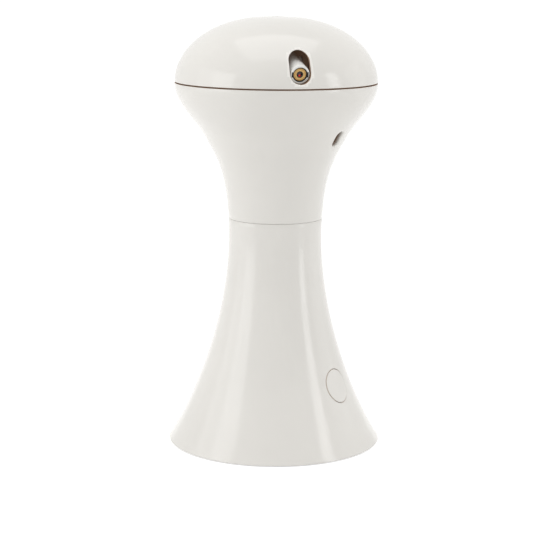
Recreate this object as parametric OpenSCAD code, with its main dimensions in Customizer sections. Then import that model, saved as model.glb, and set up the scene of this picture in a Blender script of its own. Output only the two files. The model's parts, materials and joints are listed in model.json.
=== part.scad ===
// Automatic laser toy for cats: a trumpet-shaped stand, a bowl-shaped head and a domed cap that turns.
// Sizes are in millimetres. +Z is up, the origin is the middle of the plane that the feet stand on,
// and -Y is where the dome's slot points at rest. A place round the axis is an angle from -Y towards +X.

/* [Outline] */
// Diameter of the bottom rim
base_d = 108; // [104:0.5:114]
// Diameter of the waist, the narrowest place
waist_d = 47; // [46:0.5:50]
// Diameter of the head at its widest place, the dome's seam
head_d = 101.2; // [99:0.2:108]
// Diameter where the bowl's curve turns from hollow to full
turn_d = 71; // [68:0.5:74]
// Height of the waist above the bottom rim
waist_h = 106; // [103:0.5:108]
// Height of the joint between stand and head above the waist
neck_rise = 8.2; // [6.5:0.1:9.4]
// Height of the turn in the bowl's curve above the waist
turn_rise = 49.2; // [48:0.2:51]
// Height of the dome's seam above the turn
seam_rise = 27; // [26:0.2:29]
// Height of the dome's top above its seam
dome_rise = 32.5; // [31:0.1:37]

/* [Walls and clearances] */
// Thickness of the moulded shells
wall = 2.4; // [2:0.1:2.6]
// Open seam under the turning dome
seam_gap = 0.5; // [0.4:0.1:0.8]
// Joint line between stand and head
neck_gap = 0.1; // [0.05:0.05:0.2]
// Side clearance between pieces that are dropped into each other
drop_gap = 0.3; // [0.2:0.05:0.4]
// Radial clearance of a shaft in its bush
run_gap = 0.05; // [0.03:0.01:0.08]
// Radial clearance of a screw in the piece that it clamps
screw_gap = 0.2; // [0.1:0.05:0.3]

/* [Dome slot and windows] */
// Width of the slot in the dome
slot_w = 10; // [9.8:0.1:11]
// Height of the slot's lower end above the dome's seam
slot_rise = 2.5; // [2.2:0.1:2.8]
// Height of the slot
slot_h = 15.6; // [15.4:0.1:16.6]
// Width of a light window in the bowl
window_w = 7.5; // [7:0.1:9]
// Height of a light window, along the bowl's slope
window_h = 5.4; // [5:0.1:6.5]
// How far a window faces down
window_dip = 27; // [25:0.5:29]
// Place of the window that shows beside the button
side_window = 62.5; // [58:0.5:68]
// Place of the window that the lower laser shines through at rest
rear_window = -116; // [-120:0.5:-110]
// How far the windows lie below the turn in the bowl's curve
window_drop = 0.9; // [0:0.1:2]

/* [Lasers] */
// Outer diameter of a laser barrel
barrel_d = 9.1; // [8.8:0.1:9.2]
// Wall of a laser barrel
barrel_wall = 1.05; // [0.9:0.05:1.2]
// Length of the upper barrel
barrel_l = 30; // [28:0.5:33]
// Distance of the tilt axis behind the upper barrel's mouth
pivot_back = 20; // [19:0.2:21]
// Dip of the upper barrel at rest
barrel_dip = 14; // [13:0.5:14.5]
// Distance of the upper barrel's mouth inside the dome's rim
mouth_in = 2.6; // [2.2:0.1:3.6]
// Height of the upper barrel's mouth above the dome's seam
mouth_rise = 6.8; // [6.7:0.1:7.2]
// Length of the lower barrel
lower_l = 20; // [18:0.5:21]
// Distance from the lower barrel's mouth to its window
lower_back = 9; // [8:0.5:10]
// Outer diameter of a brass laser module
module_d = 6.3; // [6:0.1:6.4]
// Length of a brass laser module
module_l = 13; // [11:0.5:15]
// Diameter of the hole that the light leaves by
aperture_d = 3.1; // [2.6:0.1:3.6]

/* [Button] */
// Diameter of the push button
button_d = 16.4; // [15.4:0.2:17]
// Place of the button
button_az = 42; // [38:0.5:48]
// Height of the button's middle above the bottom rim
button_h = 31.7; // [31:0.1:33]
// Travel of the button
button_travel = 1.5; // [1:0.1:1.6]
// Gap round the button
button_gap = 0.3; // [0.25:0.05:0.4]

/* [Drive] */
// Size of the gear teeth: pitch diameter over number of teeth
gear_module = 0.6; // [0.58:0.01:0.61]
// Teeth of each large wheel
wheel_teeth = 30; // [28:1:30]
// Teeth of each pinion
pinion_teeth = 12; // [12:1:13]
// Thinning of each tooth for free running
backlash = 0.08; // [0.04:0.01:0.12]
// Diameter of the turning shaft
shaft_d = 4; // [3.6:0.2:4.2]
// Diameter of the motor can
motor_d = 15.5; // [14.5:0.5:15.5]
// Length of the motor can
motor_l = 20; // [18:0.5:22]
// Diameter of the motor's shaft
motor_shaft_d = 2; // [1.8:0.1:2.2]

/* [Batteries] */
// Diameter of a cell
cell_d = 14.5; // [14:0.1:14.7]
// Length of a cell with its cap
cell_l = 50.5; // [50:0.1:51]

/* [Underside] */
// Height of the feet below the bottom rim
foot_proud = 0.5; // [0.4:0.1:1]
// Diameter of a foot
foot_d = 11; // [9:0.5:12]
// Distance of the feet's middles inside the bottom rim
foot_in = 12; // [11.5:0.5:14]
// Depth of the base plate inside the bottom rim
plate_recess = 1; // [0.8:0.1:1.5]
// Thickness of the base plate
plate_t = 2.5; // [2.3:0.1:3]

/* [Hidden] */
$fn = 72;

shell_white = [0.93, 0.92, 0.90];
inner_white = [0.88, 0.88, 0.87];
board_green = [0.16, 0.42, 0.27];
steel = [0.72, 0.73, 0.75];
brass = [0.80, 0.66, 0.38];
copper = [0.80, 0.50, 0.33];
dark_grey = [0.20, 0.20, 0.20];
mid_grey = [0.35, 0.35, 0.36];
chassis_brown = [0.22, 0.18, 0.15];
gear_cream = [0.90, 0.90, 0.86];
rubber = [0.13, 0.13, 0.14];
cell_blue = [0.22, 0.36, 0.52];
lens_red = [0.72, 0.10, 0.08];

// Room past a face, so that a cut leaves no skin
over = 1;

// Heights of the outline above the ground
rim_z = foot_proud;
waist_z = rim_z + waist_h;
neck_z = waist_z + neck_rise;
turn_z = waist_z + turn_rise;
seam_z = turn_z + seam_rise;
top_z = seam_z + dome_rise;
base_r = base_d / 2;
waist_r = waist_d / 2;
turn_r = turn_d / 2;
head_r = head_d / 2;

// The outline is four curves end to end, each a cubic with two end points and two handles
flare = [[base_r, rim_z], [base_r - 0.434 * (base_r - waist_r), rim_z + 0.208 * waist_h],
    [waist_r, rim_z + 0.594 * waist_h], [waist_r, waist_z]];
neck = [[waist_r, waist_z], [waist_r, waist_z + 0.66 * (turn_z - waist_z)],
    [turn_r - 0.367 * (turn_r - waist_r), turn_z - 0.177 * (turn_z - waist_z)], [turn_r, turn_z]];
bowl = [[turn_r, turn_z], [turn_r + 0.265 * (head_r - turn_r), turn_z + 0.296 * (seam_z - turn_z)],
    [head_r, seam_z - 0.407 * (seam_z - turn_z)], [head_r, seam_z]];
dome = [[head_r, seam_z], [head_r, seam_z + 0.4225 * (top_z - seam_z)],
    [0.7233 * head_r, top_z], [0, top_z]];
flare_steps = 16;
neck_steps = 10;
bowl_steps = 10;
dome_steps = 16;

// Point and direction of a cubic, and the point that lies w inside it
function cubic(p, t) = pow(1 - t, 3) * p[0] + 3 * t * pow(1 - t, 2) * p[1]
    + 3 * t * t * (1 - t) * p[2] + pow(t, 3) * p[3];
function cubic_way(p, t) = pow(1 - t, 2) * (p[1] - p[0]) + 2 * t * (1 - t) * (p[2] - p[1])
    + t * t * (p[3] - p[2]);
function inside(p, t, w) = let (d = cubic_way(p, t)) cubic(p, t) + w * [-d[1], d[0]] / norm(d);

// The place along a curve, w inside it, that has height z
function place_at(p, z, w, lo = 0, hi = 1, n = 30) = let (mid = (lo + hi) / 2)
    n == 0 ? mid
    : inside(p, mid, w)[1] < z ? place_at(p, z, w, mid, hi, n - 1)
    : place_at(p, z, w, lo, mid, n - 1);
function stretch(p, za, zb, w, n) = let (a = place_at(p, za, w), b = place_at(p, zb, w))
    [for (i = [0:n]) inside(p, a + (b - a) * i / n, w)];
function no_repeats(p) = [for (i = [0:len(p) - 1]) if (i == 0 || norm(p[i] - p[i - 1]) > 0.05) p[i]];
function backwards(p) = [for (i = [len(p) - 1:-1:0]) p[i]];

// The stand's and bowl's outline from height za to zb, w inside the outer face
function wall_line(za, zb, w) = no_repeats(concat(
    za < waist_z ? stretch(flare, za, min(zb, waist_z), w, flare_steps) : [],
    zb > waist_z && za < turn_z
        ? stretch(neck, max(za, waist_z), min(zb, turn_z), w, neck_steps) : [],
    zb > turn_z ? stretch(bowl, max(za, turn_z), zb, w, bowl_steps) : []));
function wall_r(z, w) = let (p = z < waist_z ? flare : z < turn_z ? neck : bowl)
    inside(p, place_at(p, z, w), w)[0];

// The dome's outline from its lower edge to its top, w inside the outer face
dome_z = seam_z + seam_gap / 2;
function dome_line(w) = let (a = place_at(dome, dome_z, w))
    [for (i = [0:dome_steps]) inside(dome, a + (1 - a) * i / dome_steps, w)];

// Levels and places of the underside and the battery bay
plate_z = rim_z + plate_recess;
plate_top = plate_z + plate_t;
foot_r = base_r - foot_in;
base_screw_r = base_r - 16;
base_screw_azs = [for (k = [0:3]) 45 + 90 * k];
foot_azs = [for (k = [0:3]) 90 * k];
boss_d = 8;
boss_h = 10;
foot_sink = 1.2;
head_h = 1.6;
tap_r = 1.5;
tap_bite = 8;
small_r = 1.1;
small_bite = 6;
cap_screw_r = 1.3;
cap_bite = 8;
tip_room = 1;
screw_boss_r = 2.9;
cell_pitch = cell_d + 0.7;
cell_bore = cell_d / 2 + 0.2;
bay_wall = 1.6;
bay_half = cell_pitch / 2 + cell_bore + bay_wall;
bay_roof = 1.8;
door_half = bay_half + 4;
door_screw_at = bay_half + 1.6;
door_t = 1.8;
contact_t = 0.4;
contact_rise = 1.8;
cells_z = plate_z + door_t + contact_t + contact_rise;
roof_z = cells_z + cell_l + contact_rise + contact_t;
bay_top = roof_z + bay_roof;
leaf_w = 7;
leaf_over = 3.5;
spring_root_r = 3;
spring_tip_r = 1.6;
cell_cap_r = 2.7;
cell_cap_h = 1.5;
holder_bite = 2;
door_bite = 3.5;
door_corner = 3;
grip_l = 16;
grip_pitch = 1.8;
ear_foot_t = 2;
holder_screw_at = door_half + 4;
holder_ear_w = 7;

// Places of the button, its switch and the control board, in the button's own direction
button_z = rim_z + button_h;
button_r = button_d / 2;
standoff = 2.4;
board_t = 1.6;
board_y = bay_half + standoff;
board_w = 22;
board_h = 34;
switch_w = 8;
switch_y = board_y + board_t;
switch_t = 3.5;
switch_floor = 0.3;
plunger_r = 1.75;
plunger_out = 2;
chip_w = 6;
chip_t = 1.2;
chip_rise = 8;
pad_l = 7.4;
socket_w = 9;
socket_h = 4.5;
socket_t = 3;
stem_y = switch_y + switch_t + plunger_out;
flange_y = stem_y + 2.4;
flange_t = 1.2;
collar_y = flange_y + flange_t + 0.2;
flange_r = button_r + 1.3;
collar_r = button_r + button_gap + 1.6;
button_skin = 2;
button_wall = 1.6;
stem_r = 2.2;
stem_rib = 1.4;

// Levels of the drive, from the stand's spigot up to the slip ring
spigot_r = wall_r(neck_z, wall) - drop_gap;
spigot_wall = 2;
spigot_h = 14;
spigot_top = neck_z + spigot_h;
floor_t = 2.5;
floor_top = spigot_top + floor_t;
floor_r = wall_r(spigot_top, wall) - 0.5;
floor_screw_r = spigot_r - 4;
floor_screw_azs = [130, 250, 10];
wheel_t = 2.8;
wheel_z = floor_top + 0.6;
upper_gear_z = wheel_z + wheel_t + 0.8;
final_t = 4;
hub_up = 0.9;
cover_z = upper_gear_z + final_t + hub_up + 0.3;
cover_t = 2.5;
cover_top = cover_z + cover_t;
cover_r = floor_r + 1;
post_r = 2.6;
post_at = floor_r - post_r - 0.5;
post_azs = [90, 200, 340];
gear_gap = gear_module * (wheel_teeth + pinion_teeth) / 2;
pinion_swing = 50;
axle_r = 1;
shaft_r = shaft_d / 2;
bush_r = shaft_r + 1.5;
shaft_z = spigot_top + 1;
ring_z = cover_top + 6.5;
ring_t = 1.6;
ring_r = 13.5;
track_t = 0.2;
track_w = 1.4;
tracks = [6.1, 8.6, 11.1];
brush_gap = 0.1;
brush_h = 4;

// Places of the lower laser: its axis is square to the bowl's wall at the window
window_z = turn_z - window_drop;
window_r = wall_r(window_z, 0);
lower_mouth_r = window_r - lower_back * cos(window_dip);
lower_mouth_z = window_z + lower_back * sin(window_dip);
barrel_r = barrel_d / 2;
bore_r = barrel_r - barrel_wall;
module_r = module_d / 2;
module_in = 1;
module_tail = 3;
face_z = -0.7;
lens_z = -2.6;
key_r = bore_r + 0.5;
key_w = 2.7;
key_l = 2;
key_bite = 0.2;
carrier_z = ring_z + ring_t;
carrier_r = 5.5;
clip_l = 9;
clip_wall = 1.5;
web_t = 3;
grub_z = carrier_z + 4;
hub_z = lower_mouth_z + lower_l * sin(window_dip);

// Levels and places of the turntable and the upper laser
table_t = 2.5;
table_top = seam_z - 3.2;
table_z = table_top - table_t;
table_wall = 1.6;
table_gap = 0.6;
table_ring_r = head_r - wall - 0.8;
table_ring_h = 5.4;
rib_h = 2.4;
rib_t = 1.6;
hub_r = 6.5;
hub_h = 3;
dome_screw_r = head_r - 13;
dome_screw_azs = [60, 180, 300];
dome_boss_r = 3.5;
mouth_r = head_r - mouth_in;
mouth_z = seam_z + mouth_rise;
pivot_r = mouth_r - pivot_back * cos(barrel_dip);
pivot_z = mouth_z + pivot_back * sin(barrel_dip);
pin_r = 1.5;
pin_root = bore_r + 0.2;
cheek = barrel_r + 0.45;
washer_t = 0.4;
ear_in = cheek + washer_t + 0.1;
ear_t = 2.2;
ear_r = 4;
ear_boss = 2.8;
bracket_t = 2.2;
bracket_l = 13;

// ---- Shared shapes ----

module revolve(points) rotate_extrude() polygon(points);

// A moulded shell of the outline, and the solid that fills it
module shell(za, zb, w) revolve(concat(wall_line(za, zb, 0), backwards(wall_line(za, zb, w))));
module filling(za, zb, w) revolve(concat([[0, za]], wall_line(za, zb, w), [[0, zb]]));
module dome_filling(w) revolve(concat([[0, dome_z]], dome_line(w)));

// Puts a shape that is built along -Y, or at -Y, at a place round the axis
module turned(azs) for (az = azs) rotate([0, 0, az]) children();
// Puts a shape that is built along +Z on a line that points out along -Y and dips
module outward(r, z, dip = 0) translate([0, -r, z]) rotate([90 + dip, 0, 0]) children();

// A bar with a long, round-ended section, along +Z
module long_hole(w, h, l) {
    r = min(w, h) / 2;
    far = max(w, h) / 2 - r;
    turn = h > w ? 90 : 0;
    rotate([0, 0, turn]) {
        for (side = [-1, 1]) translate([side * far, 0, 0]) cylinder(r = r, h = l);
        translate([-far, -r, 0]) cube([2 * far, 2 * r, l]);
    }
}

// A block with round upright corners
module round_block(half, r, h) {
    for (x = [-1, 1], y = [-1, 1]) translate([x * (half - r), y * (half - r), 0]) cylinder(r = r, h = h);
    translate([-half, r - half, 0]) cube([2 * half, 2 * (half - r), h]);
    translate([r - half, -half, 0]) cube([2 * (half - r), 2 * half, h]);
}

// A pan-head screw whose head stands on z = 0 and whose shank points down; head is the head's radius
// over the shank's
module pan_screw(r, l, head = 1.9) {
    head_r = head * r;
    translate([0, 0, -l]) cylinder(r = r, h = l + 0.1);
    difference() {
        cylinder(r1 = head_r, r2 = head_r * 0.8, h = head_h);
        translate([-head_r, -0.3, head_h * 0.6]) cube([2 * head_r, 0.6, head_h]);
    }
}

// A countersunk screw whose flat head ends at z = 0 and whose shank points down
module flat_screw(r, l) {
    head_r = 2 * r;
    translate([0, 0, -l]) cylinder(r = r, h = l);
    difference() {
        translate([0, 0, r - head_r]) cylinder(r1 = r, r2 = head_r, h = head_r - r);
        translate([-head_r, -0.3, -0.6]) cube([2 * head_r, 0.6, 1]);
    }
}

// The cut that a countersunk screw needs, its seat included
module flat_screw_cut(r, l) {
    head_r = 2 * r;
    translate([0, 0, -l]) cylinder(r = r + screw_gap, h = l + 0.1);
    translate([0, 0, r - head_r]) cylinder(r1 = r, r2 = head_r, h = head_r - r);
    cylinder(r = head_r, h = over);
}

// ---- Gears ----

pressure = 20;
wheel_pitch = gear_module * wheel_teeth / 2;
pinion_pitch = gear_module * pinion_teeth / 2;
addendum = 0.8 * gear_module;
dedendum = gear_module;

// Involute of an angle, in degrees
function involute(a) = tan(a) * 180 / PI - a;
// Half of a tooth's angle at radius r, on a wheel of n teeth
function half_tooth(n, r) = let (pitch = gear_module * n / 2, root = pitch * cos(pressure))
    90 / n - backlash / 2 / pitch * 180 / PI + involute(pressure) - involute(acos(root / max(r, root)));
function on_circle(r, a) = r * [cos(a), sin(a)];
function gear_line(n) = let (pitch = gear_module * n / 2, lo = pitch - dedendum, hi = pitch + addendum)
    [for (k = [0:n - 1], side = [-1, 1], i = [0:4])
        let (r = lo + (hi - lo) * (side < 0 ? i : 4 - i) / 4)
        on_circle(r, 360 * k / n + side * half_tooth(n, r))];
module gear(n, h, bore) linear_extrude(h) difference() {
    polygon(gear_line(n));
    circle(r = bore);
}

// How far gear b is turned so that it meshes with gear a, which is turned by turn_a,
// when b lies in direction way from a
function mesh_turn(way, turn_a, teeth_a, teeth_b) =
    way + 180 - 360 / teeth_b * (0.5 - (way - turn_a) * teeth_a / 360);

// The compound gear lies on the -X side of the shaft, and the motor round it from there
compound_turn = mesh_turn(180, 0, wheel_teeth, pinion_teeth);
motor_turn = mesh_turn(pinion_swing, 0, wheel_teeth, pinion_teeth);
compound_at = [-gear_gap, 0, 0];
motor_at = compound_at + gear_gap * [cos(pinion_swing), sin(pinion_swing), 0];
motor_screw_at = 0.4 * motor_d;
motor_screw_r = 1;
motor_bite = 2.5;
motor_nose_r = 3;
motor_nose = 1.5;
motor_end = 2;

// ---- Stand ----

module base_shell() color(shell_white) difference() {
    union() {
        shell(rim_z, neck_z, wall);
        spigot();
        // Bosses and ribs for the base plate's screws
        intersection() {
            turned(base_screw_azs) {
                translate([0, -base_screw_r, plate_top]) cylinder(d = boss_d, h = boss_h);
                translate([-1, -base_r, plate_top]) cube([2, base_r - base_screw_r, boss_h]);
            }
            filling(rim_z, waist_z, wall / 2);
        }
        // Collar that guides the button
        intersection() {
            turned([button_az]) outward(collar_y, button_z) cylinder(r = collar_r, h = base_r);
            filling(rim_z, waist_z, wall / 2);
        }
    }
    turned(base_screw_azs)
        translate([0, -base_screw_r, plate_top - over]) cylinder(r = tap_r, h = tap_bite + tip_room + over);
    turned([button_az]) outward(stem_y, button_z) cylinder(r = button_r + button_gap, h = base_r);
}

// The tube on top of the stand that the head pushes over, with its bayonet lugs and screw bosses
module spigot() {
    root = neck_z - 4;
    inner_r = spigot_r - spigot_wall;
    revolve([[inner_r, root], [wall_r(root, wall / 2), root], [wall_r(neck_z, wall / 2), neck_z],
        [spigot_r, neck_z], [spigot_r, spigot_top], [inner_r, spigot_top]]);
    turned(floor_screw_azs) difference() {
        translate([0, -floor_screw_r, spigot_top - small_bite - 3])
            cylinder(r = screw_boss_r, h = small_bite + 3);
        translate([0, -floor_screw_r, spigot_top - small_bite - tip_room])
            cylinder(r = small_r, h = small_bite + tip_room + over);
    }
    for (k = [0:2]) rotate([0, 0, 120 * k]) rotate_extrude(angle = 34)
        polygon([[spigot_r - 0.5, neck_z + 7], [spigot_r + 0.5, neck_z + 7],
            [spigot_r + 0.5, neck_z + 9], [spigot_r - 0.5, neck_z + 9.8]]);
}

module base_plate() color(inner_white) difference() {
    revolve(concat([[0, plate_z]], wall_line(plate_z, plate_top, wall + drop_gap), [[0, plate_top]]));
    turned([button_az]) {
        translate([0, 0, plate_z - over]) round_block(door_half + drop_gap, door_corner, door_t + over);
        translate([0, 0, plate_z]) round_block(bay_half - bay_wall + 0.1, door_corner, plate_t + over);
    }
    turned(base_screw_azs) translate([0, -base_screw_r, plate_z])
        rotate([180, 0, 0]) flat_screw_cut(tap_r, plate_t + over);
    turned(foot_azs) translate([0, -foot_r, plate_z - over])
        cylinder(d = foot_d, h = foot_sink + over);
    // Holes for the screw that holds the door, and for those that hold the battery holder
    turned([button_az]) {
        translate([0, -door_screw_at, plate_z]) cylinder(r = small_r + screw_gap, h = plate_t + over);
        for (side = [-1, 1]) translate([side * holder_screw_at, 0, plate_top - holder_bite])
            cylinder(r = small_r, h = holder_bite + over);
    }
}

module base_screws() color(steel) turned(base_screw_azs)
    translate([0, -base_screw_r, plate_z]) rotate([180, 0, 0]) flat_screw(tap_r, plate_t + tap_bite);

module rubber_feet() color(rubber) turned(foot_azs) translate([0, -foot_r, 0])
    revolve([[0, 0], [foot_d / 2 - 0.4, 0], [foot_d / 2, 0.4], [foot_d / 2, plate_z + foot_sink],
        [0, plate_z + foot_sink]]);

module battery_door() color(inner_white) turned([button_az]) translate([0, 0, plate_z]) difference() {
    round_block(door_half, door_corner, door_t);
    // Finger grip, and the seat of the door's screw
    for (k = [-2:2]) translate([-grip_l / 2, door_half - 8 + grip_pitch * k, -over])
        cube([grip_l, 0.8, over + 0.5]);
    translate([0, -door_screw_at, 0]) rotate([180, 0, 0]) flat_screw_cut(small_r, door_t + over);
}

module door_screw() color(steel) turned([button_az]) translate([0, -door_screw_at, plate_z])
    rotate([180, 0, 0]) flat_screw(small_r, plate_t + door_bite);

// ---- Batteries ----

module each_cell() for (x = [-1, 1], y = [-1, 1])
    translate([x * cell_pitch / 2, y * cell_pitch / 2, 0]) children();

module contact_leaf() {
    translate([-cell_pitch / 2 - leaf_over, -leaf_w / 2, 0])
        cube([cell_pitch + 2 * leaf_over, leaf_w, contact_t]);
    for (side = [-1, 1]) translate([side * cell_pitch / 2, 0, contact_t])
        cylinder(r1 = spring_root_r, r2 = spring_tip_r, h = contact_rise);
}

module door_contacts() color(steel) turned([button_az]) translate([0, 0, plate_z + door_t])
    for (y = [-1, 1]) translate([0, y * cell_pitch / 2, 0]) contact_leaf();

module top_contacts() color(steel) turned([button_az]) translate([0, 0, roof_z])
    for (x = [-1, 1]) translate([x * cell_pitch / 2, 0, 0]) rotate([180, 0, 90]) contact_leaf();

module battery_cells() color(cell_blue) turned([button_az]) each_cell() translate([0, 0, cells_z]) {
    r = cell_d / 2;
    shoulder = cell_l - cell_cap_h;
    revolve([[0, 0], [r - 0.4, 0], [r, 0.4], [r, shoulder - 0.4], [r - 0.4, shoulder],
        [cell_cap_r, shoulder], [cell_cap_r, cell_l], [0, cell_l]]);
}

module battery_holder() color(inner_white) turned([button_az]) difference() {
    union() {
        translate([0, 0, plate_top]) round_block(bay_half, 6, bay_top - plate_top);
        // Two ears that are screwed down to the base plate, and the door screw's boss
        translate([-holder_screw_at, -holder_ear_w / 2, plate_top])
            cube([2 * holder_screw_at, holder_ear_w, ear_foot_t]);
        for (side = [-1, 1]) translate([side * holder_screw_at, 0, plate_top])
            cylinder(d = holder_ear_w, h = ear_foot_t);
        translate([0, -door_screw_at, plate_top]) cylinder(r = post_r, h = door_bite + 1.5);
        each_board_screw(bay_half - 1) cylinder(r = post_r - 0.2, h = standoff + 1);
    }
    each_cell() translate([0, 0, plate_top - over]) cylinder(r = cell_bore, h = roof_z - plate_top + over);
    translate([-cell_pitch / 2, -cell_pitch / 2, plate_top - over])
        cube([cell_pitch, cell_pitch, roof_z - plate_top + over]);
    // Pockets for the contacts under the roof, and the way in for the cells
    for (side = [-1, 1]) translate([side * cell_pitch / 2 - leaf_w / 2 - drop_gap,
        -cell_pitch / 2 - leaf_over - drop_gap, roof_z - contact_t - drop_gap])
        cube([leaf_w + 2 * drop_gap, cell_pitch + 2 * (leaf_over + drop_gap), contact_t + drop_gap]);
    translate([0, 0, plate_top - over]) round_block(bay_half - bay_wall, door_corner, over + 2);
    each_board_screw(bay_half - 0.4) cylinder(r = small_r, h = standoff + over);
    translate([0, -door_screw_at, plate_top - over]) cylinder(r = small_r, h = over + door_bite);
    for (side = [-1, 1]) translate([side * holder_screw_at, 0, plate_top - over])
        cylinder(r = small_r + screw_gap, h = ear_foot_t + 2 * over);
}

module holder_screws() color(steel) turned([button_az]) for (side = [-1, 1])
    translate([side * holder_screw_at, 0, plate_top + ear_foot_t])
        pan_screw(small_r, ear_foot_t + holder_bite);

// ---- Button and control board ----

// Puts a shape at each of the board's two screws, built outwards from a distance from the axis
module each_board_screw(y) for (side = [-1, 1]) outward(y, button_z + side * (board_h / 2 - 3)) children();

// A box on the board's outer face, given by its width, height and thickness, so far above the button
module on_board(w, h, t, rise) translate([-w / 2, -switch_y - t, button_z + rise - h / 2]) cube([w, t, h]);

module control_board() color(board_green) turned([button_az]) {
    difference() {
        translate([0, board_t, 0]) on_board(board_w, board_h, board_t, 0);
        each_board_screw(board_y - over) cylinder(r = small_r + screw_gap, h = board_t + 2 * over);
    }
    // Driver chip with its row of pads, and the socket for the motor's and the brushes' leads
    on_board(chip_w, chip_w, chip_t, -chip_rise);
    for (k = [-2:2]) translate([1.2 * k, 0, 0]) on_board(0.5, pad_l, 0.3, -chip_rise);
    difference() {
        on_board(socket_w, socket_h, socket_t, chip_rise);
        for (k = [-1:1]) translate([2.5 * k, -1, 0]) on_board(1.5, 1.5, socket_t, chip_rise);
    }
}

module board_screws() color(steel) turned([button_az]) each_board_screw(board_y + board_t)
    pan_screw(small_r, board_t + standoff - 0.1);

module power_switch() color(dark_grey) turned([button_az]) difference() {
    on_board(switch_w, switch_w, switch_t, 0);
    outward(switch_y + switch_floor, button_z) cylinder(r = plunger_r + 0.1, h = switch_t);
}

module switch_plunger() color(mid_grey) turned([button_az])
    outward(switch_y + switch_floor + button_travel + 0.1, button_z)
        cylinder(r = plunger_r, h = stem_y - switch_y - switch_floor - button_travel - 0.1);

// A cup whose face follows the stand's curve, with a stop flange behind the collar and a stem inside
module power_button() color(shell_white) turned([button_az]) {
    difference() {
        union() {
            intersection() {
                outward(flange_y, button_z) cylinder(r = button_r, h = base_r);
                filling(rim_z, waist_z, 0.1);
            }
            outward(flange_y, button_z) cylinder(r = flange_r, h = flange_t);
        }
        intersection() {
            outward(flange_y - over, button_z) cylinder(r = button_r - button_wall, h = base_r);
            filling(rim_z, waist_z, button_skin);
        }
    }
    intersection() {
        outward(stem_y, button_z) union() {
            cylinder(r = stem_r, h = base_r);
            for (a = [0, 90]) rotate([0, 0, a])
                translate([button_wall / 2 - button_r, -stem_rib / 2, flange_y - stem_y])
                    cube([2 * button_r - button_wall, stem_rib, base_r]);
        }
        filling(rim_z, waist_z, 1);
    }
}

// ---- Head ----

module head_shell() color(shell_white) difference() {
    union() {
        shell(neck_z + neck_gap, seam_z - seam_gap / 2, wall);
        // Bayonet ledges that the stand's lugs turn over
        for (k = [0:2]) rotate([0, 0, 120 * k]) rotate_extrude(angle = 34)
            polygon([[spigot_r + 0.15, neck_z + 4.6], [wall_r(neck_z + 4.6, wall / 2), neck_z + 4.6],
                [wall_r(neck_z + 6.8, wall / 2), neck_z + 6.8], [spigot_r + 0.15, neck_z + 6.8]]);
    }
    turned([side_window, rear_window]) outward(window_r, window_z, window_dip)
        translate([0, 0, -8]) long_hole(window_w, window_h, 16);
}

// ---- Drive ----

module gearbox_floor() color(inner_white) difference() {
    union() {
        translate([0, 0, spigot_top]) cylinder(r = floor_r, h = floor_t);
        turned(post_azs) translate([0, -post_at, floor_top - 0.1])
            cylinder(r = post_r, h = cover_z - floor_top + 0.1);
        translate(compound_at) translate([0, 0, floor_top - 0.1]) cylinder(r = axle_r + 1.2, h = 0.6);
    }
    turned(post_azs) translate([0, -post_at, cover_z - small_bite - tip_room])
        cylinder(r = small_r, h = small_bite + tip_room + over);
    turned(floor_screw_azs) translate([0, -floor_screw_r, floor_top])
        flat_screw_cut(small_r, floor_t + over);
    translate([0, 0, spigot_top - over]) {
        cylinder(r = bush_r, h = floor_t + 2 * over);
        translate(compound_at) cylinder(r = axle_r, h = floor_t + 2 * over);
        translate(motor_at) {
            cylinder(r = motor_nose_r, h = floor_t + 2 * over);
            each_motor_screw() cylinder(r = motor_screw_r + screw_gap, h = floor_t + 2 * over);
        }
    }
}

module floor_screws() color(steel) turned(floor_screw_azs) translate([0, -floor_screw_r, floor_top])
    flat_screw(small_r, floor_t + small_bite);

module drive_motor() color(steel) translate(motor_at) translate([0, 0, spigot_top]) difference() {
    union() {
        translate([0, 0, -motor_l]) revolve([[0, 0], [motor_d / 2 - 0.8, 0], [motor_d / 2, 0.8],
            [motor_d / 2, motor_l - 0.8], [motor_d / 2 - 0.8, motor_l], [0, motor_l]]);
        translate([0, 0, -motor_l - motor_nose]) cylinder(r = motor_nose_r, h = motor_nose + 0.1);
        translate([0, 0, -0.1]) cylinder(r = motor_nose_r, h = motor_nose + 0.1);
        // Terminals
        for (side = [-1, 1]) translate([side * motor_screw_at - 0.3, -1, -motor_l - 2.5])
            cube([0.6, 2, 2.6]);
    }
    translate([0, 0, -motor_l + motor_end]) cylinder(r = motor_shaft_d / 2 + run_gap, h = motor_l);
    each_motor_screw() translate([0, 0, -motor_bite - 0.5])
        cylinder(r = motor_screw_r, h = motor_bite + over);
}

module each_motor_screw() for (side = [-1, 1]) rotate([0, 0, pinion_swing + 90])
    translate([side * motor_screw_at, 0, 0]) children();

module motor_screws() color(steel) translate(motor_at) translate([0, 0, floor_top]) each_motor_screw()
    pan_screw(motor_screw_r, floor_t + motor_bite, 1.8);

module motor_shaft() color(steel) translate(motor_at)
    translate([0, 0, spigot_top - motor_l + motor_end + 0.3])
        cylinder(d = motor_shaft_d, h = wheel_z + wheel_t - spigot_top + motor_l - motor_end);

module motor_pinion() color(brass) translate(motor_at) translate([0, 0, wheel_z - 0.2])
    rotate([0, 0, motor_turn]) gear(pinion_teeth, wheel_t + 0.4, motor_shaft_d / 2);

module gear_axle() color(steel) translate(compound_at) translate([0, 0, spigot_top + 0.3])
    cylinder(r = axle_r, h = cover_top - spigot_top - 0.6);

module compound_gear() color(gear_cream) translate(compound_at) {
    translate([0, 0, wheel_z]) gear(wheel_teeth, wheel_t, axle_r + run_gap);
    translate([0, 0, wheel_z + wheel_t]) rotate([0, 0, compound_turn])
        gear(pinion_teeth, upper_gear_z + final_t + 0.6 - wheel_z - wheel_t, axle_r + run_gap);
}

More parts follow.
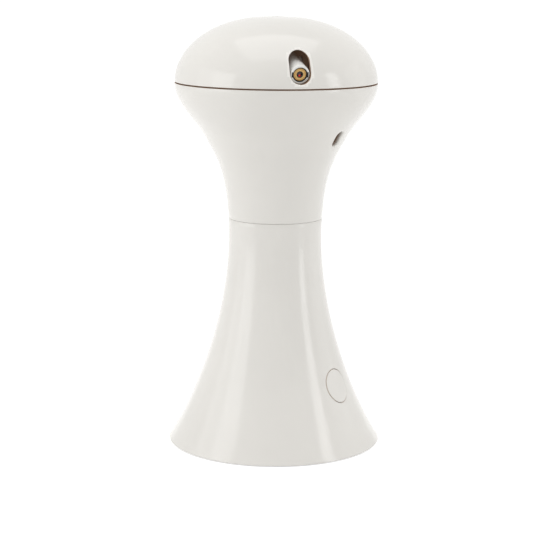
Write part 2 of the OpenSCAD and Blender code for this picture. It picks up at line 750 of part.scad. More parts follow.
module final_gear() color(gear_cream) {
    translate([0, 0, upper_gear_z]) gear(wheel_teeth, final_t, shaft_r);
    translate([0, 0, upper_gear_z + final_t]) difference() {
        cylinder(r = shaft_r + 2.4, h = hub_up);
        translate([0, 0, -over]) cylinder(r = shaft_r, h = hub_up + 2 * over);
    }
}

module gearbox_cover() color(inner_white) difference() {
    translate([0, 0, cover_z]) cylinder(r = cover_r, h = cover_t);
    translate([0, 0, cover_z - over]) {
        cylinder(r = bush_r, h = cover_t + 2 * over);
        translate(compound_at) cylinder(r = axle_r, h = cover_t + 2 * over);
        turned(post_azs) translate([0, -post_at, 0])
            cylinder(r = small_r + screw_gap, h = cover_t + 2 * over);
    }
}

module cover_screws() color(steel) turned(post_azs) translate([0, -post_at, cover_top])
    pan_screw(small_r, cover_t + small_bite);

// A closed cup that carries the shaft's lower end
module lower_bush() color(brass) difference() {
    translate([0, 0, spigot_top]) cylinder(r = bush_r, h = floor_t);
    translate([0, 0, shaft_z]) cylinder(r = shaft_r + run_gap, h = floor_t);
}

module upper_bush() color(brass) difference() {
    union() {
        translate([0, 0, cover_z]) cylinder(r = bush_r, h = cover_t + 0.1);
        translate([0, 0, cover_top]) cylinder(r = bush_r + 1.4, h = 0.9);
    }
    translate([0, 0, cover_z - over]) cylinder(r = shaft_r + run_gap, h = cover_t + 3 * over);
}

module rotor_shaft() color(steel) difference() {
    translate([0, 0, shaft_z + 0.05]) cylinder(r = shaft_r, h = table_top - shaft_z - 0.05);
    translate([0, 0, table_top - small_bite - tip_room])
        cylinder(r = small_r, h = small_bite + tip_room + over);
}

// ---- Slip ring ----

module brush_block() color(dark_grey) translate([tracks[0] + 2, -6, cover_top])
    cube([8, 12, brush_h - 0.8]);

module brush_fingers() color(copper) for (k = [0:2]) {
    y = 3.6 * (k - 1);
    track = tracks[[2, 0, 1][k]];
    tip_x = sqrt(track * track - y * y);
    root_x = tracks[0] + 9.6;
    root_z = cover_top + brush_h - 0.8;
    tip_z = ring_z - track_t - brush_gap;
    translate([0, y + 0.8, 0]) rotate([90, 0, 0]) linear_extrude(1.6)
        polygon([[root_x, root_z], [root_x, root_z + 0.3], [root_x - 2, root_z + 0.3], [tip_x + 0.8, tip_z],
            [tip_x - 0.8, tip_z], [tip_x - 0.8, tip_z - 0.3], [tip_x + 0.6, tip_z - 0.3],
            [root_x - 2.2, root_z]]);
}

module slip_ring_disc() color(board_green) difference() {
    translate([0, 0, ring_z]) cylinder(r = ring_r, h = ring_t);
    translate([0, 0, ring_z - over]) cylinder(r = shaft_r, h = ring_t + 2 * over);
}

module slip_ring_tracks() color(copper) for (r = tracks) translate([0, 0, ring_z - track_t]) difference() {
    cylinder(r = r + track_w / 2, h = track_t);
    translate([0, 0, -over]) cylinder(r = r - track_w / 2, h = track_t + 2 * over);
}

// ---- Lasers, each built along +Z with its mouth at z = 0 ----

// A tube with rounded ends and a keyway on each side of its mouth
module barrel_tube(l) difference() {
    revolve([[bore_r, -l], [barrel_r - 0.3, -l], [barrel_r, 0.3 - l], [barrel_r, -0.4],
        [barrel_r - 0.12, -0.12], [barrel_r - 0.4, 0], [bore_r + 0.2, 0], [bore_r, -0.2]]);
    for (side = [-1, 1]) translate([side * (bore_r + key_r) / 2, 0, 0])
        cube([key_r - bore_r + 2 * key_bite, key_w, 2 * key_l], center = true);
}

// A rubber sleeve whose two keys sit in the barrel's keyways
module sleeve_tube() {
    revolve([[module_r, -module_l - module_in], [bore_r, -module_l - module_in], [bore_r, -module_in],
        [module_r, -module_in]]);
    for (side = [-1, 1]) translate([side * bore_r - (side < 0 ? key_r - bore_r - 0.1 : 0.1), 0, 0])
        translate([0, 0.1 - key_w / 2, -key_l]) cube([key_r - bore_r, key_w - 0.2, key_l - module_in]);
}

// A turned module with two fine rings in its face, and a narrower rear end
module laser_body() {
    r = aperture_d / 2;
    rear = -module_l - module_tail;
    revolve([[0, rear], [module_r - 0.5, rear], [module_r - 0.5, -module_l], [module_r, -module_l],
        [module_r, face_z - 0.2], [module_r - 0.2, face_z],
        for (ring = [0.82, 0.68], way = [1, 0, -1])
            [ring * module_r + 0.1 * way, face_z - 0.1 * (1 - abs(way))],
        [r + 0.3, face_z], [r, face_z - 0.3], [r, lens_z], [0, lens_z]]);
}

module laser_lens() revolve([[0, lens_z], [aperture_d / 2, lens_z], [aperture_d / 2, lens_z + 0.7],
    [0.7, lens_z + 0.9], [0, lens_z + 0.95]]);

module at_lower() turned([rear_window]) outward(lower_mouth_r, lower_mouth_z, window_dip) children();
module at_upper() outward(mouth_r, mouth_z, barrel_dip) children();

module lower_laser_barrel() color(shell_white) at_lower() barrel_tube(lower_l);
module lower_laser_sleeve() color(rubber) at_lower() sleeve_tube();
module lower_laser_module() color(brass) at_lower() laser_body();
module lower_laser_lens() color(lens_red) at_lower() laser_lens();

// Radius and height of a point in the clip's wall, under the lower barrel and so far behind its mouth
function under_barrel(back) = [lower_mouth_r, lower_mouth_z] + back * [-cos(window_dip), sin(window_dip)]
    - (barrel_r + clip_wall / 2) * [sin(window_dip), cos(window_dip)];

// Hub on the shaft, with a clip that holds the lower barrel in line with the windows
module laser_carrier() color(inner_white) difference() {
    union() {
        revolve([[shaft_r, carrier_z], [carrier_r, carrier_z], [carrier_r, hub_z], [shaft_r, hub_z]]);
        at_lower() translate([0, 0, 2 - lower_l]) cylinder(r = barrel_r + clip_wall, h = clip_l);
        turned([rear_window]) rotate([90, 0, -90]) translate([0, 0, -web_t / 2]) linear_extrude(web_t)
            polygon([[carrier_r - 1, carrier_z + 1], [lower_mouth_r - 0.6 * lower_l, carrier_z + 1],
                under_barrel(lower_l - clip_l - 1), under_barrel(lower_l - 3),
                [carrier_r - 1, under_barrel(lower_l - 3)[1] + 1]]);
    }
    at_lower() translate([0, 0, -lower_l - 0.4]) cylinder(r = barrel_r, h = 2 * lower_l);
    turned([rear_window + 180]) outward(shaft_r - over, grub_z) cylinder(r = small_r, h = carrier_r + over);
}

module carrier_screw() color(steel) turned([rear_window + 180]) difference() {
    outward(shaft_r, grub_z) cylinder(r = small_r, h = carrier_r - shaft_r - 0.3);
    outward(carrier_r - 1, grub_z) translate([-1.5, -0.25, 0]) cube([3, 0.5, 2]);
}

module upper_laser_barrel() color(shell_white) difference() {
    union() {
        at_upper() barrel_tube(barrel_l);
        // Flat-faced bosses that the tilt screws run into
        difference() {
            translate([-cheek, -pivot_r, pivot_z]) rotate([0, 90, 0]) cylinder(r = ear_boss, h = 2 * cheek);
            at_upper() translate([0, 0, -barrel_l - over]) cylinder(r = bore_r, h = barrel_l + 2 * over);
        }
    }
    for (side = [-1, 1]) translate([side * (cheek + pin_root) / 2, -pivot_r, pivot_z]) rotate([0, 90, 0])
        cylinder(r = pin_r, h = cheek - pin_root, center = true);
}
module upper_laser_sleeve() color(rubber) at_upper() sleeve_tube();
module upper_laser_module() color(brass) at_upper() laser_body();
module upper_laser_lens() color(lens_red) at_upper() laser_lens();

module each_pivot() for (side = [-1, 1]) translate([0, -pivot_r, pivot_z]) rotate([0, side * 90, 0])
    children();

module tilt_washers() color(steel) each_pivot() translate([0, 0, cheek]) difference() {
    cylinder(r = ear_boss, h = washer_t);
    translate([0, 0, -over]) cylinder(r = pin_r, h = washer_t + 2 * over);
}

module tilt_screws() color(steel) each_pivot() {
    translate([0, 0, pin_root]) cylinder(r = pin_r, h = ear_in + ear_t + 0.2 - pin_root);
    translate([0, 0, ear_in + ear_t + 0.1]) difference() {
        cylinder(r = ear_boss, h = 1.4);
        translate([-ear_boss, -0.3, 0.8]) cube([2 * ear_boss, 0.6, 1]);
    }
}

// Two ears on a foot, screwed to the turntable
module tilt_bracket() color(chassis_brown) difference() {
    union() {
        translate([-ear_in - ear_t, -pivot_r - bracket_l / 2, table_top])
            cube([2 * (ear_in + ear_t), bracket_l, bracket_t]);
        for (side = [-1, 1]) translate([side * (ear_in + ear_t / 2), -pivot_r, 0]) {
            translate([-ear_t / 2, -ear_r, table_top]) cube([ear_t, 2 * ear_r, pivot_z - table_top]);
            translate([0, 0, pivot_z]) rotate([0, 90, 0]) cylinder(r = ear_r, h = ear_t, center = true);
        }
    }
    each_pivot() translate([0, 0, ear_in - over]) cylinder(r = pin_r + run_gap, h = ear_t + 2 * over);
    each_bracket_screw(table_top - over) cylinder(r = small_r + screw_gap, h = bracket_t + 2 * over);
}

module each_bracket_screw(z) for (side = [-1, 1])
    translate([0, -pivot_r + side * (bracket_l / 2 - 2.6), z]) children();

module bracket_screws() color(steel) each_bracket_screw(table_top + bracket_t)
    pan_screw(small_r, bracket_t + table_t);

// ---- Turning cap ----

module turntable() color(chassis_brown) difference() {
    union() {
        revolve(concat([[0, table_z]], wall_line(table_z, table_top, wall + table_gap), [[0, table_top]]));
        // Upstand that closes the seam from inside and centres the dome
        translate([0, 0, table_top]) revolve([[table_ring_r - table_wall, -0.1], [table_ring_r, -0.1],
            [table_ring_r, table_ring_h], [table_ring_r - table_wall, table_ring_h]]);
        translate([0, 0, table_z - hub_h]) cylinder(r = hub_r, h = hub_h + 0.1);
        for (k = [0:5]) rotate([0, 0, 60 * k]) translate([0, -rib_t / 2, table_z - rib_h])
            cube([table_ring_r - 8, rib_t, rib_h + 0.1]);
    }
    translate([0, 0, table_z - hub_h - over]) cylinder(r = shaft_r, h = table_t + hub_h + 2 * over);
    turned(dome_screw_azs) translate([0, -dome_screw_r, table_z - over])
        cylinder(r = cap_screw_r + screw_gap, h = table_t + 2 * over);
    each_bracket_screw(table_z - over) cylinder(r = small_r, h = table_t + 2 * over);
    // Passage for the upper laser's leads
    translate([0, -12.5, table_z - over]) cylinder(r = 3, h = table_t + 2 * over);
}

module turntable_screw() color(steel) translate([0, 0, table_top]) pan_screw(small_r, small_bite, 3.1);

module dome_cover() color(shell_white) difference() {
    union() {
        revolve(concat(dome_line(0), backwards(dome_line(wall))));
        intersection() {
            turned(dome_screw_azs) translate([0, -dome_screw_r, table_top])
                cylinder(r = dome_boss_r, h = top_z - table_top);
            union() {
                dome_filling(wall / 2);
                translate([0, 0, table_top])
                    cylinder(r = dome_screw_r + dome_boss_r + over, h = dome_z - table_top + 0.1);
            }
        }
    }
    turned(dome_screw_azs) translate([0, -dome_screw_r, table_top - over])
        cylinder(r = cap_screw_r, h = cap_bite + tip_room + over);
    outward(head_r / 2, seam_z + slot_rise + slot_h / 2) long_hole(slot_w, slot_h, head_r);
}

module dome_screws() color(steel) turned(dome_screw_azs) translate([0, -dome_screw_r, table_z])
    rotate([180, 0, 0]) pan_screw(cap_screw_r, table_t + cap_bite);

base_shell();
base_plate();
base_screws();
rubber_feet();
battery_door();
door_screw();
door_contacts();
battery_holder();
holder_screws();
top_contacts();
battery_cells();
control_board();
board_screws();
power_switch();
switch_plunger();
power_button();
head_shell();
gearbox_floor();
floor_screws();
drive_motor();
motor_screws();
motor_shaft();
motor_pinion();
gear_axle();
compound_gear();
final_gear();
gearbox_cover();
cover_screws();
lower_bush();
upper_bush();
rotor_shaft();
brush_block();
brush_fingers();
slip_ring_disc();
slip_ring_tracks();
laser_carrier();
carrier_screw();
lower_laser_barrel();
lower_laser_sleeve();
lower_laser_module();
lower_laser_lens();
turntable();
turntable_screw();
tilt_bracket();
bracket_screws();
upper_laser_barrel();
upper_laser_sleeve();
upper_laser_module();
upper_laser_lens();
tilt_washers();
tilt_screws();
dome_cover();
dome_screws();
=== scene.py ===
"""Looks of an automatic cat laser toy: smooth shells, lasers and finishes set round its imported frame."""

import json
import math

import bmesh
import bpy
from bpy.props import FloatProperty, FloatVectorProperty, IntProperty, PointerProperty
from mathutils import Matrix, Vector
from mathutils.bvhtree import BVHTree
from mathutils.geometry import interpolate_bezier


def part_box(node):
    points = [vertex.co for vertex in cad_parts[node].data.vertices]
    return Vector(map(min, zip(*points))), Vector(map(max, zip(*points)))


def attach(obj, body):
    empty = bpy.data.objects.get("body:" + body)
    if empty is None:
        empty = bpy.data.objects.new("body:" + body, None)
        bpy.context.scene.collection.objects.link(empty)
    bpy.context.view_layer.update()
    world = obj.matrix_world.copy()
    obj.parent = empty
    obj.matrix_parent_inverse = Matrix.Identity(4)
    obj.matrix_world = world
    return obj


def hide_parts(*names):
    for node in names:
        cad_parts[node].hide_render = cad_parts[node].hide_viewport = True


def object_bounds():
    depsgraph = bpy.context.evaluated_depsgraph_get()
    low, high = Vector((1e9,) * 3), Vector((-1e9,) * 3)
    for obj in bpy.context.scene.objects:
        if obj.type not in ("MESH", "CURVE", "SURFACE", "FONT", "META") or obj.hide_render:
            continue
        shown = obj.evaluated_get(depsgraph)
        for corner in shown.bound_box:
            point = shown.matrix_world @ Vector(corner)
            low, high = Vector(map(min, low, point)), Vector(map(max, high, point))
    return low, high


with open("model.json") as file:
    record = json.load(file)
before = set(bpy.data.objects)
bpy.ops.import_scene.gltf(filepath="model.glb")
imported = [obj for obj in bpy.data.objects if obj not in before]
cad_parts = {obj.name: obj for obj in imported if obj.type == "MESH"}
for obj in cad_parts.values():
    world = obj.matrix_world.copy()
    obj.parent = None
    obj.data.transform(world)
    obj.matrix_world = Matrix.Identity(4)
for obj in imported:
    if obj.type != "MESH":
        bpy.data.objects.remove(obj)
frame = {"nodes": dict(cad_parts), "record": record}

bl_info = {
    "name": "Cat laser toy",
    "version": (1, 0, 0),
    "blender": (4, 5, 0),
    "location": "View3D > Sidebar > Laser toy",
    "description": "Gives an automatic cat laser toy its smooth shells, lasers and finishes",
    "category": "Object",
}

MM = 0.001
SEAM_GAP = 0.5 * MM
SPIGOT_DROP = 4 * MM
SPIGOT_WALL = 2 * MM
SHARP = 50
MERGE = 1e-7
TOUCH = 0.03 * MM
LIP_REACH, LIP_EDGE = 1.24, 1.22
LAMP_AWAY, LAMP_H = 0.85, 0.20
CAD_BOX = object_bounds()
STAND_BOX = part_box("base_shell")
HEAD_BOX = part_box("head_shell")
DOME_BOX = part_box("dome_cover")
WINDOW_DEPTH = 10 * MM
JOINTS = {joint["name"]: joint for joint in frame["record"]["behaviour"]["joints"]}
TILT_PIVOT = Vector(JOINTS["laser_tilt"]["pos_m"])


# ---- Sizes and colours that a user would change ----

def plain(name, description, default, **kind):
    """A property that holds one number"""
    return FloatProperty(name=name, description=description, default=default, **kind)


def length(name, description, default):
    """A property that holds a length in metres"""
    return plain(name, description, default, unit="LENGTH")


def angle(name, description, degrees):
    """A property that holds an angle, given here in degrees"""
    return plain(name, description, math.radians(degrees), subtype="ANGLE", unit="ROTATION")


def colour(name, description, default):
    """A colour property, in linear red, green and blue"""
    return FloatVectorProperty(
        name=name, description=description, subtype="COLOR", size=3, min=0, max=1, default=default)


class OutlineSizes(bpy.types.PropertyGroup):
    """Sizes of the stand, the head and the dome"""
    base_d: length("Base diameter", "Diameter of the bottom rim", 2 * STAND_BOX[1].x)
    waist_d: length("Waist diameter", "Diameter at the narrowest place", 47 * MM)
    turn_d: length("Turn diameter", "Diameter where the bowl's curve turns from hollow to full", 71 * MM)
    head_d: length("Head diameter", "Diameter at the dome's seam", 2 * DOME_BOX[1].x)
    waist_h: length("Waist height", "Height of the waist above the bottom rim", 106 * MM)
    turn_h: length("Turn height", "Height of the turn in the bowl's curve above the bottom rim", 155.2 * MM)
    wall: length("Wall", "Thickness of the moulded shells", 2.4 * MM)
    edge: length("Edge", "Rounding of the shells' rims", 0.45 * MM)
    turns: IntProperty(name="Turns", description="Facets round a shell", default=192, min=48)


class OpeningSizes(bpy.types.PropertyGroup):
    """Sizes of the dome's slot, the light windows and the button"""
    slot_w: length("Slot width", "Width of the slot", 10.2 * MM)
    slot_h: length("Slot height", "Height of the slot", 15.8 * MM)
    slot_rise: length("Slot rise", "Height of the slot's lower end above the dome's seam", 2.35 * MM)
    slot_lip: length("Slot lip", "Rounding of the slot's rim", 0.8 * MM)
    window_w: length("Window width", "Width of a light window", 4.8 * MM)
    window_h: length("Window height", "Height of a light window", 8.6 * MM)
    window_lip: length("Window lip", "Rounding of a window's rim", 0.9 * MM)
    window_rise: length("Window rise", "How far the windows lie above the turn in the bowl's curve", 0.8 * MM)
    window_dip: angle("Window dip", "How far a window faces down", 27)
    side_window: angle("Side window", "Place of the window beside the button, from the slot", 43.8)
    rear_window: angle("Rear window", "Place of the window that the lower laser faces, from the slot", -116)
    button_d: length("Button diameter", "Diameter of the push button", 15.9 * MM)
    button_h: length("Button height", "Height of the button's middle above the bottom rim", 32.3 * MM)
    button_az: angle("Button place", "Place of the button, from the slot", 42.2)
    button_gap: length("Button gap", "Gap round the button", 0.26 * MM)
    button_dish: length("Button dish", "Depth of the hollow in the button's face", 0.35 * MM)


class LaserSizes(bpy.types.PropertyGroup):
    """Sizes of the two lasers"""
    barrel_d: length("Barrel diameter", "Outer diameter of a barrel", 9.1 * MM)
    barrel_wall: length("Barrel wall", "Wall of a barrel", 0.95 * MM)
    upper_l: length("Upper barrel", "Length of the upper barrel", 30 * MM)
    lower_l: length("Lower barrel", "Length of the lower barrel", 20 * MM)
    pivot_back: length("Pivot", "Distance of the tilt axis behind the upper barrel's mouth", 20 * MM)
    dip: angle("Dip", "Dip of the upper barrel at rest", 14)
    lower_back: length("Lower mouth", "Distance from the lower barrel's mouth to its window", 9 * MM)
    aim_drop: length("Aim drop", "How far below a window's middle the lower laser's axis runs", 1.7 * MM)
    module_d: length("Module diameter", "Diameter of a brass module", 6.3 * MM)
    module_l: length("Module length", "Length of a brass module", 13 * MM)
    aperture_d: length("Aperture", "Diameter of the hole that the light leaves by", 3.1 * MM)


class Finishes(bpy.types.PropertyGroup):
    """Colours of the object's materials"""
    shell: colour("Shell", "Gloss plastic of the shells", (0.745, 0.728, 0.692))
    barrel: colour("Barrel", "Gloss plastic of the barrels", (0.78, 0.775, 0.75))
    inner: colour("Inner plastic", "Plain plastic of the inner pieces", (0.60, 0.59, 0.56))
    # painted shade: the colour the gap round the button is darkened to, on the hole's wall and the button's skirt
    skirt: colour("Skirt", "Plastic down in the gap round the button", (0.66, 0.57, 0.48))
    # the chassis colour is also painted as shade inside the dome and head, in the seam and on the slot's and
    # windows' walls
    chassis: colour("Chassis", "Dark plastic under the dome", (0.30, 0.19, 0.125))
    gear: colour("Gears", "Plastic of the gears", (0.74, 0.73, 0.64))
    steel: colour("Steel", "Screws, shafts and the motor", (0.56, 0.56, 0.58))
    rubber: colour("Rubber", "Feet and sleeves", (0.018, 0.015, 0.014))
    jacket: colour("Cell jacket", "Jacket of the cells", (0.05, 0.12, 0.24))
    board: colour("Board", "Circuit boards", (0.03, 0.15, 0.06))
    brass: colour("Brass", "Laser modules and bushes", (0.47, 0.315, 0.13))
    copper: colour("Copper", "Slip ring and brushes", (0.72, 0.35, 0.18))
    lens: colour("Lens", "Red glow of the lasers", (0.72, 0.045, 0.03))


class StageSettings(bpy.types.PropertyGroup):
    """Camera and light"""
    camera_away: length("Camera distance", "Distance of the camera from the object's axis", 0.830)
    camera_h: length("Camera height", "Height of the camera", 0.2455)
    camera_az: angle("Camera place", "Place of the camera round the object, from the slot", -13.5)
    camera_pitch: angle("Camera pitch", "How far the camera looks down", 11.0)
    camera_yaw: angle("Camera yaw", "How far the camera looks past the object's axis", 0.054)
    camera_roll: angle("Camera roll", "How far the camera leans", 0.416)
    lens: plain("Lens", "Focal length, in millimetres", 108.26)
    world_light: plain("World light", "Strength of the even light", 0.66)
    left_light: plain("Left light", "Power of the broad light on the left", 1.70)
    left_strip: plain("Left strip", "Power of the narrower light on the left", 1.30)
    right_strip: plain("Right strip", "Power of the narrow light on the right", 1.55)
    rear_light: plain("Rear light", "Power of the light on the right and behind", 0.40)
    top_light: plain("Top light", "Power of the light overhead", 3.40)


# ---- Outline ----

def settings():
    """The property groups of the scene"""
    return bpy.context.scene.laser_toy


def bezier(knots, steps):
    """Points of a cubic given as four (radius, height) pairs"""
    return interpolate_bezier(*[Vector((r, 0, z)) for r, z in knots], steps + 1)


def body_outline(fineness=1):
    """The outer face of the stand and the head, from the bottom rim up to the dome's seam"""
    size = settings().outline
    base_r, waist_r, turn_r, head_r = (d / 2 for d in (size.base_d, size.waist_d, size.turn_d, size.head_d))
    rim_z = STAND_BOX[0].z
    waist_z, turn_z, seam_z = rim_z + size.waist_h, rim_z + size.turn_h, seam_height()
    flare = [(base_r, rim_z), (base_r - 0.434 * (base_r - waist_r), rim_z + 0.208 * size.waist_h),
             (waist_r, rim_z + 0.594 * size.waist_h), (waist_r, waist_z)]
    neck = [(waist_r, waist_z), (waist_r, waist_z + 0.66 * (turn_z - waist_z)),
            (turn_r - 0.367 * (turn_r - waist_r), turn_z - 0.177 * (turn_z - waist_z)), (turn_r, turn_z)]
    bowl = [(turn_r, turn_z), (turn_r + 0.265 * (head_r - turn_r), turn_z + 0.296 * (seam_z - turn_z)),
            (head_r, seam_z - 0.407 * (seam_z - turn_z)), (head_r, seam_z)]
    return bezier(flare, 64 * fineness) + bezier(neck, 32 * fineness)[1:] + bezier(bowl, 32 * fineness)[1:]


def dome_outline():
    """The outer face of the dome, from its seam up to its top"""
    head_r = settings().outline.head_d / 2
    seam_z, top_z = seam_height(), DOME_BOX[1].z
    return bezier([(head_r, seam_z), (head_r, seam_z + 0.4225 * (top_z - seam_z)),
                   (0.7233 * head_r, top_z), (0, top_z)], 56)


def dome_rim():
    """Height of the dome's lower rim, a seam's gap above the head"""
    return HEAD_BOX[1].z + SEAM_GAP


def seam_height():
    """Height of the middle of the seam between the head and the dome"""
    return (HEAD_BOX[1].z + dome_rim()) / 2


def inset(line, amount):
    """A line moved inwards, square to itself"""
    moved = []
    for i, point in enumerate(line):
        ahead = line[min(i + 1, len(line) - 1)] - line[max(i - 1, 0)]
        inwards = Vector((-ahead.z, 0, ahead.x)).normalized()
        moved.append(point + amount * inwards)
    if line[-1].x < MM / 100:
        moved[-1].x = 0
    return moved


def between(line, low, high, room=0.7 * MM):
    """The part of a rising line between two heights, with no other point too close to its ends"""
    def at(height):
        for a, b in zip(line, line[1:]):
            if a.z <= height <= b.z:
                return a.lerp(b, (height - a.z) / max(b.z - a.z, 1e-9))
        return (line[0] if height < line[0].z else line[-1]).copy()
    return [at(low), *[p for p in line if low + room < p.z < high - room], at(high)]


def radius_at(line, height):
    """Radius of a rising line at a height"""
    return between(line, height, line[-1].z)[0].x


def softened(profile, corners, radius, steps=4):
    """A profile with some of its corners rounded; corners are places in its list"""
    out = []
    for i, point in enumerate(profile):
        if i not in corners:
            out.append(point)
            continue
        before, after = profile[i - 1] - point, profile[(i + 1) % len(profile)] - point
        start = point + before.normalized() * min(radius, before.length * 0.48)
        end = point + after.normalized() * min(radius, after.length * 0.48)
        out += interpolate_bezier(start, start.lerp(point, 0.55), end.lerp(point, 0.55), end, steps + 1)
    return out


# ---- Shared shapes ----

def revolve(profile, steps):
    """A closed solid turned about the Z axis from a profile of (radius, 0, height) points"""
    bm = bmesh.new()
    verts = [bm.verts.new(p) for p in profile]
    pairs = list(zip(verts, verts[1:]))
    if profile[0].x > 0 or profile[-1].x > 0:
        pairs.append((verts[-1], verts[0]))
    edges = [bm.edges.new(pair) for pair in pairs]
    bmesh.ops.spin(bm, geom=verts + edges, cent=(0, 0, 0), axis=(0, 0, 1), angle=2 * math.pi,
                   steps=steps, use_merge=True)
    bmesh.ops.remove_doubles(bm, verts=bm.verts, dist=MERGE)
    bmesh.ops.recalc_face_normals(bm, faces=bm.faces)
    return bm


def turned_part(pairs, steps=48):
    """A small turned solid from (radius, height) pairs in millimetres"""
    return revolve([Vector((r, 0, z)) * MM for r, z in pairs], steps)


def placed(bm, place):
    """Moves a shape to its place in the frame"""
    bmesh.ops.transform(bm, matrix=place, verts=bm.verts)
    return bm


def joined(*shapes):
    """Several shapes in one, which don't touch or are meant to lie in each other"""
    whole = bmesh.new()
    for shape in shapes:
        mesh = bpy.data.meshes.new("part")
        shape.to_mesh(mesh)
        shape.free()
        whole.from_mesh(mesh)
        bpy.data.meshes.remove(mesh)
    return whole


def carved(bm, tools, operation="DIFFERENCE"):
    """A shape after closed tools are cut out of it, or joined to it"""
    target = bpy.data.objects.new("target", bpy.data.meshes.new("target"))
    bm.to_mesh(target.data)
    bm.free()
    helpers = [target]
    bpy.context.scene.collection.objects.link(target)
    for tool in tools:
        helper = bpy.data.objects.new("tool", bpy.data.meshes.new("tool"))
        tool.to_mesh(helper.data)
        tool.free()
        bpy.context.scene.collection.objects.link(helper)
        step = target.modifiers.new("cut", "BOOLEAN")
        step.object, step.operation, step.solver = helper, operation, "EXACT"
        helpers.append(helper)
    depsgraph = bpy.context.evaluated_depsgraph_get()
    mesh = bpy.data.meshes.new_from_object(target.evaluated_get(depsgraph))
    result = bmesh.new()
    result.from_mesh(mesh)
    bpy.data.meshes.remove(mesh)
    for helper in helpers:
        data = helper.data
        bpy.data.objects.remove(helper)
        bpy.data.meshes.remove(data)
    bmesh.ops.remove_doubles(result, verts=result.verts, dist=MERGE)
    return result


def aimed(radius, height, azimuth=0.0, dip=0.0):
    """The place of a shape built along +Z on a line that points out at an azimuth and dips"""
    return (Matrix.Rotation(azimuth, 4, "Z") @ Matrix.Translation((0, -radius, height))
            @ Matrix.Rotation(math.pi / 2 + dip, 4, "X"))


def reach_of(tree, place, x, y):
    """How far along its own axis, from a place, a point's line meets a surface from outside"""
    along = place.to_3x3() @ Vector((0, 0, 1))
    hit = tree.ray_cast(place @ Vector((x, y, 0)) + along * 0.2, -along)[0]
    if hit is None:
        raise RuntimeError("an opening misses the shell that it should cut")
    return (place.inverted() @ hit).z


def long_ring(width, height, fineness=0.6 * MM):
    """A round-ended ring in the XY plane, as a bmesh, its spine's half lengths and its end radius"""
    radius = min(width, height) / 2
    half = Vector((width / 2 - radius, height / 2 - radius, 0))
    bm = bmesh.new()
    bmesh.ops.create_circle(bm, segments=64, radius=radius)
    for v in bm.verts:
        v.co.x += math.copysign(half.x, v.co.x) if abs(v.co.x) > 1e-7 else 0
        v.co.y += math.copysign(half.y, v.co.y) if abs(v.co.y) > 1e-7 else 0
    for edge in [e for e in bm.edges if e.calc_length() > 2 * fineness]:
        bmesh.ops.subdivide_edges(bm, edges=[edge], cuts=int(edge.calc_length() / fineness))
    return bm, half


def opening_tool(tree, place, width, height, lip, depth):
    """A cutter for a round-ended opening whose rim is rounded where it meets the surface"""
    bm, half = long_ring(width, height)
    arc = [math.radians(a) for a in (0, 15, 30, 45, 60, 75)]
    rings = [(0, depth), *[(lip * (1 - math.cos(a)), lip * (1 - math.sin(a))) for a in arc],
             (LIP_REACH * lip, -0.1 * lip), (LIP_REACH * lip, -depth)]
    first = list(bm.edges)
    edges = first
    for index, (grow, under) in enumerate(rings):
        if index:
            made = bmesh.ops.extrude_edge_only(bm, edges=edges)["geom"]
            edges = [g for g in made if isinstance(g, bmesh.types.BMEdge)]
        for v in {v for e in edges for v in e.verts}:
            spine = Vector((max(-half.x, min(half.x, v.co.x)), max(-half.y, min(half.y, v.co.y)), 0))
            away = Vector((v.co.x, v.co.y, 0)) - spine
            radius = min(width, height) / 2 + grow
            flat = spine + away.normalized() * radius
            v.co = Vector((flat.x, flat.y, reach_of(tree, place, flat.x, flat.y) - under))
    bmesh.ops.contextual_create(bm, geom=first)
    bmesh.ops.contextual_create(bm, geom=edges)
    bmesh.ops.triangulate(bm, faces=[f for f in bm.faces if len(f.verts) > 4])
    bmesh.ops.recalc_face_normals(bm, faces=bm.faces)
    return placed(bm, place)


def beyond_wall(spot, width, height):
    """How far a point lies outside the straight wall of a round-ended opening, across the opening's axis"""
    radius = min(width, height) / 2
    past_x, past_y = (max(0, abs(at) - (size / 2 - radius)) for at, size in ((spot.x, width), (spot.y, height)))
    return math.hypot(past_x, past_y) - radius


def block(low, high):
    """A box between two corners"""
    bm = bmesh.new()
    low, high = Vector(low), Vector(high)
    size = Matrix.Diagonal((*(high - low), 1))
    bmesh.ops.create_cube(bm, size=1, matrix=Matrix.Translation((low + high) / 2) @ size)
    return bm


def painted_by_face(bm, choose):
    """Gives each face one of the piece's finishes, by the number that its middle and its normal choose; this is
    how painted shade and painted highlights are put on faces
    """
    bm.normal_update()
    for face in bm.faces:
        face.material_index = int(choose(face.calc_center_median(), face.normal))
    return bm


def piece(name, bm, finish, body, stands_for=(), sharp=38, painted_light_finishes=()):
    """Makes a shape a piece of the object, which rides on a body and stands for its CAD nodes"""
    mesh = bpy.data.meshes.new(name)
    bm.to_mesh(mesh)
    bm.free()
    mesh.shade_smooth()
    mesh.set_sharp_from_angle(angle=math.radians(sharp))
    made = bpy.data.objects.new(name, mesh)
    bpy.context.scene.collection.objects.link(made)
    # the extra finishes carry painted shade and painted highlights
    for layer in (finish, *painted_light_finishes):
        mesh.materials.append(layer)
    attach(made, body)
    if stands_for:
        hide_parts(*stands_for)
    return made


# ---- Finishes ----

def add(tree, kind, options=None, **inputs):
    """A node with its options and inputs set; an input is a number, a colour or another node's socket"""
    made = tree.nodes.new(kind)
    for key, value in (options or {}).items():
        setattr(made, key, value)
    for key, value in inputs.items():
        socket = made.inputs[key.replace("_", " ")]
        if isinstance(value, bpy.types.NodeSocket):
            tree.links.new(value, socket)
        else:
            socket.default_value = value
    return made


def calc(tree, operation, first, second):
    """The result of two values, each a number or another node's socket"""
    made = add(tree, "ShaderNodeMath", {"operation": operation})
    for socket, value in zip(made.inputs, (first, second)):
        if isinstance(value, bpy.types.NodeSocket):
            tree.links.new(value, socket)
        else:
            socket.default_value = value
    return made.outputs["Value"]


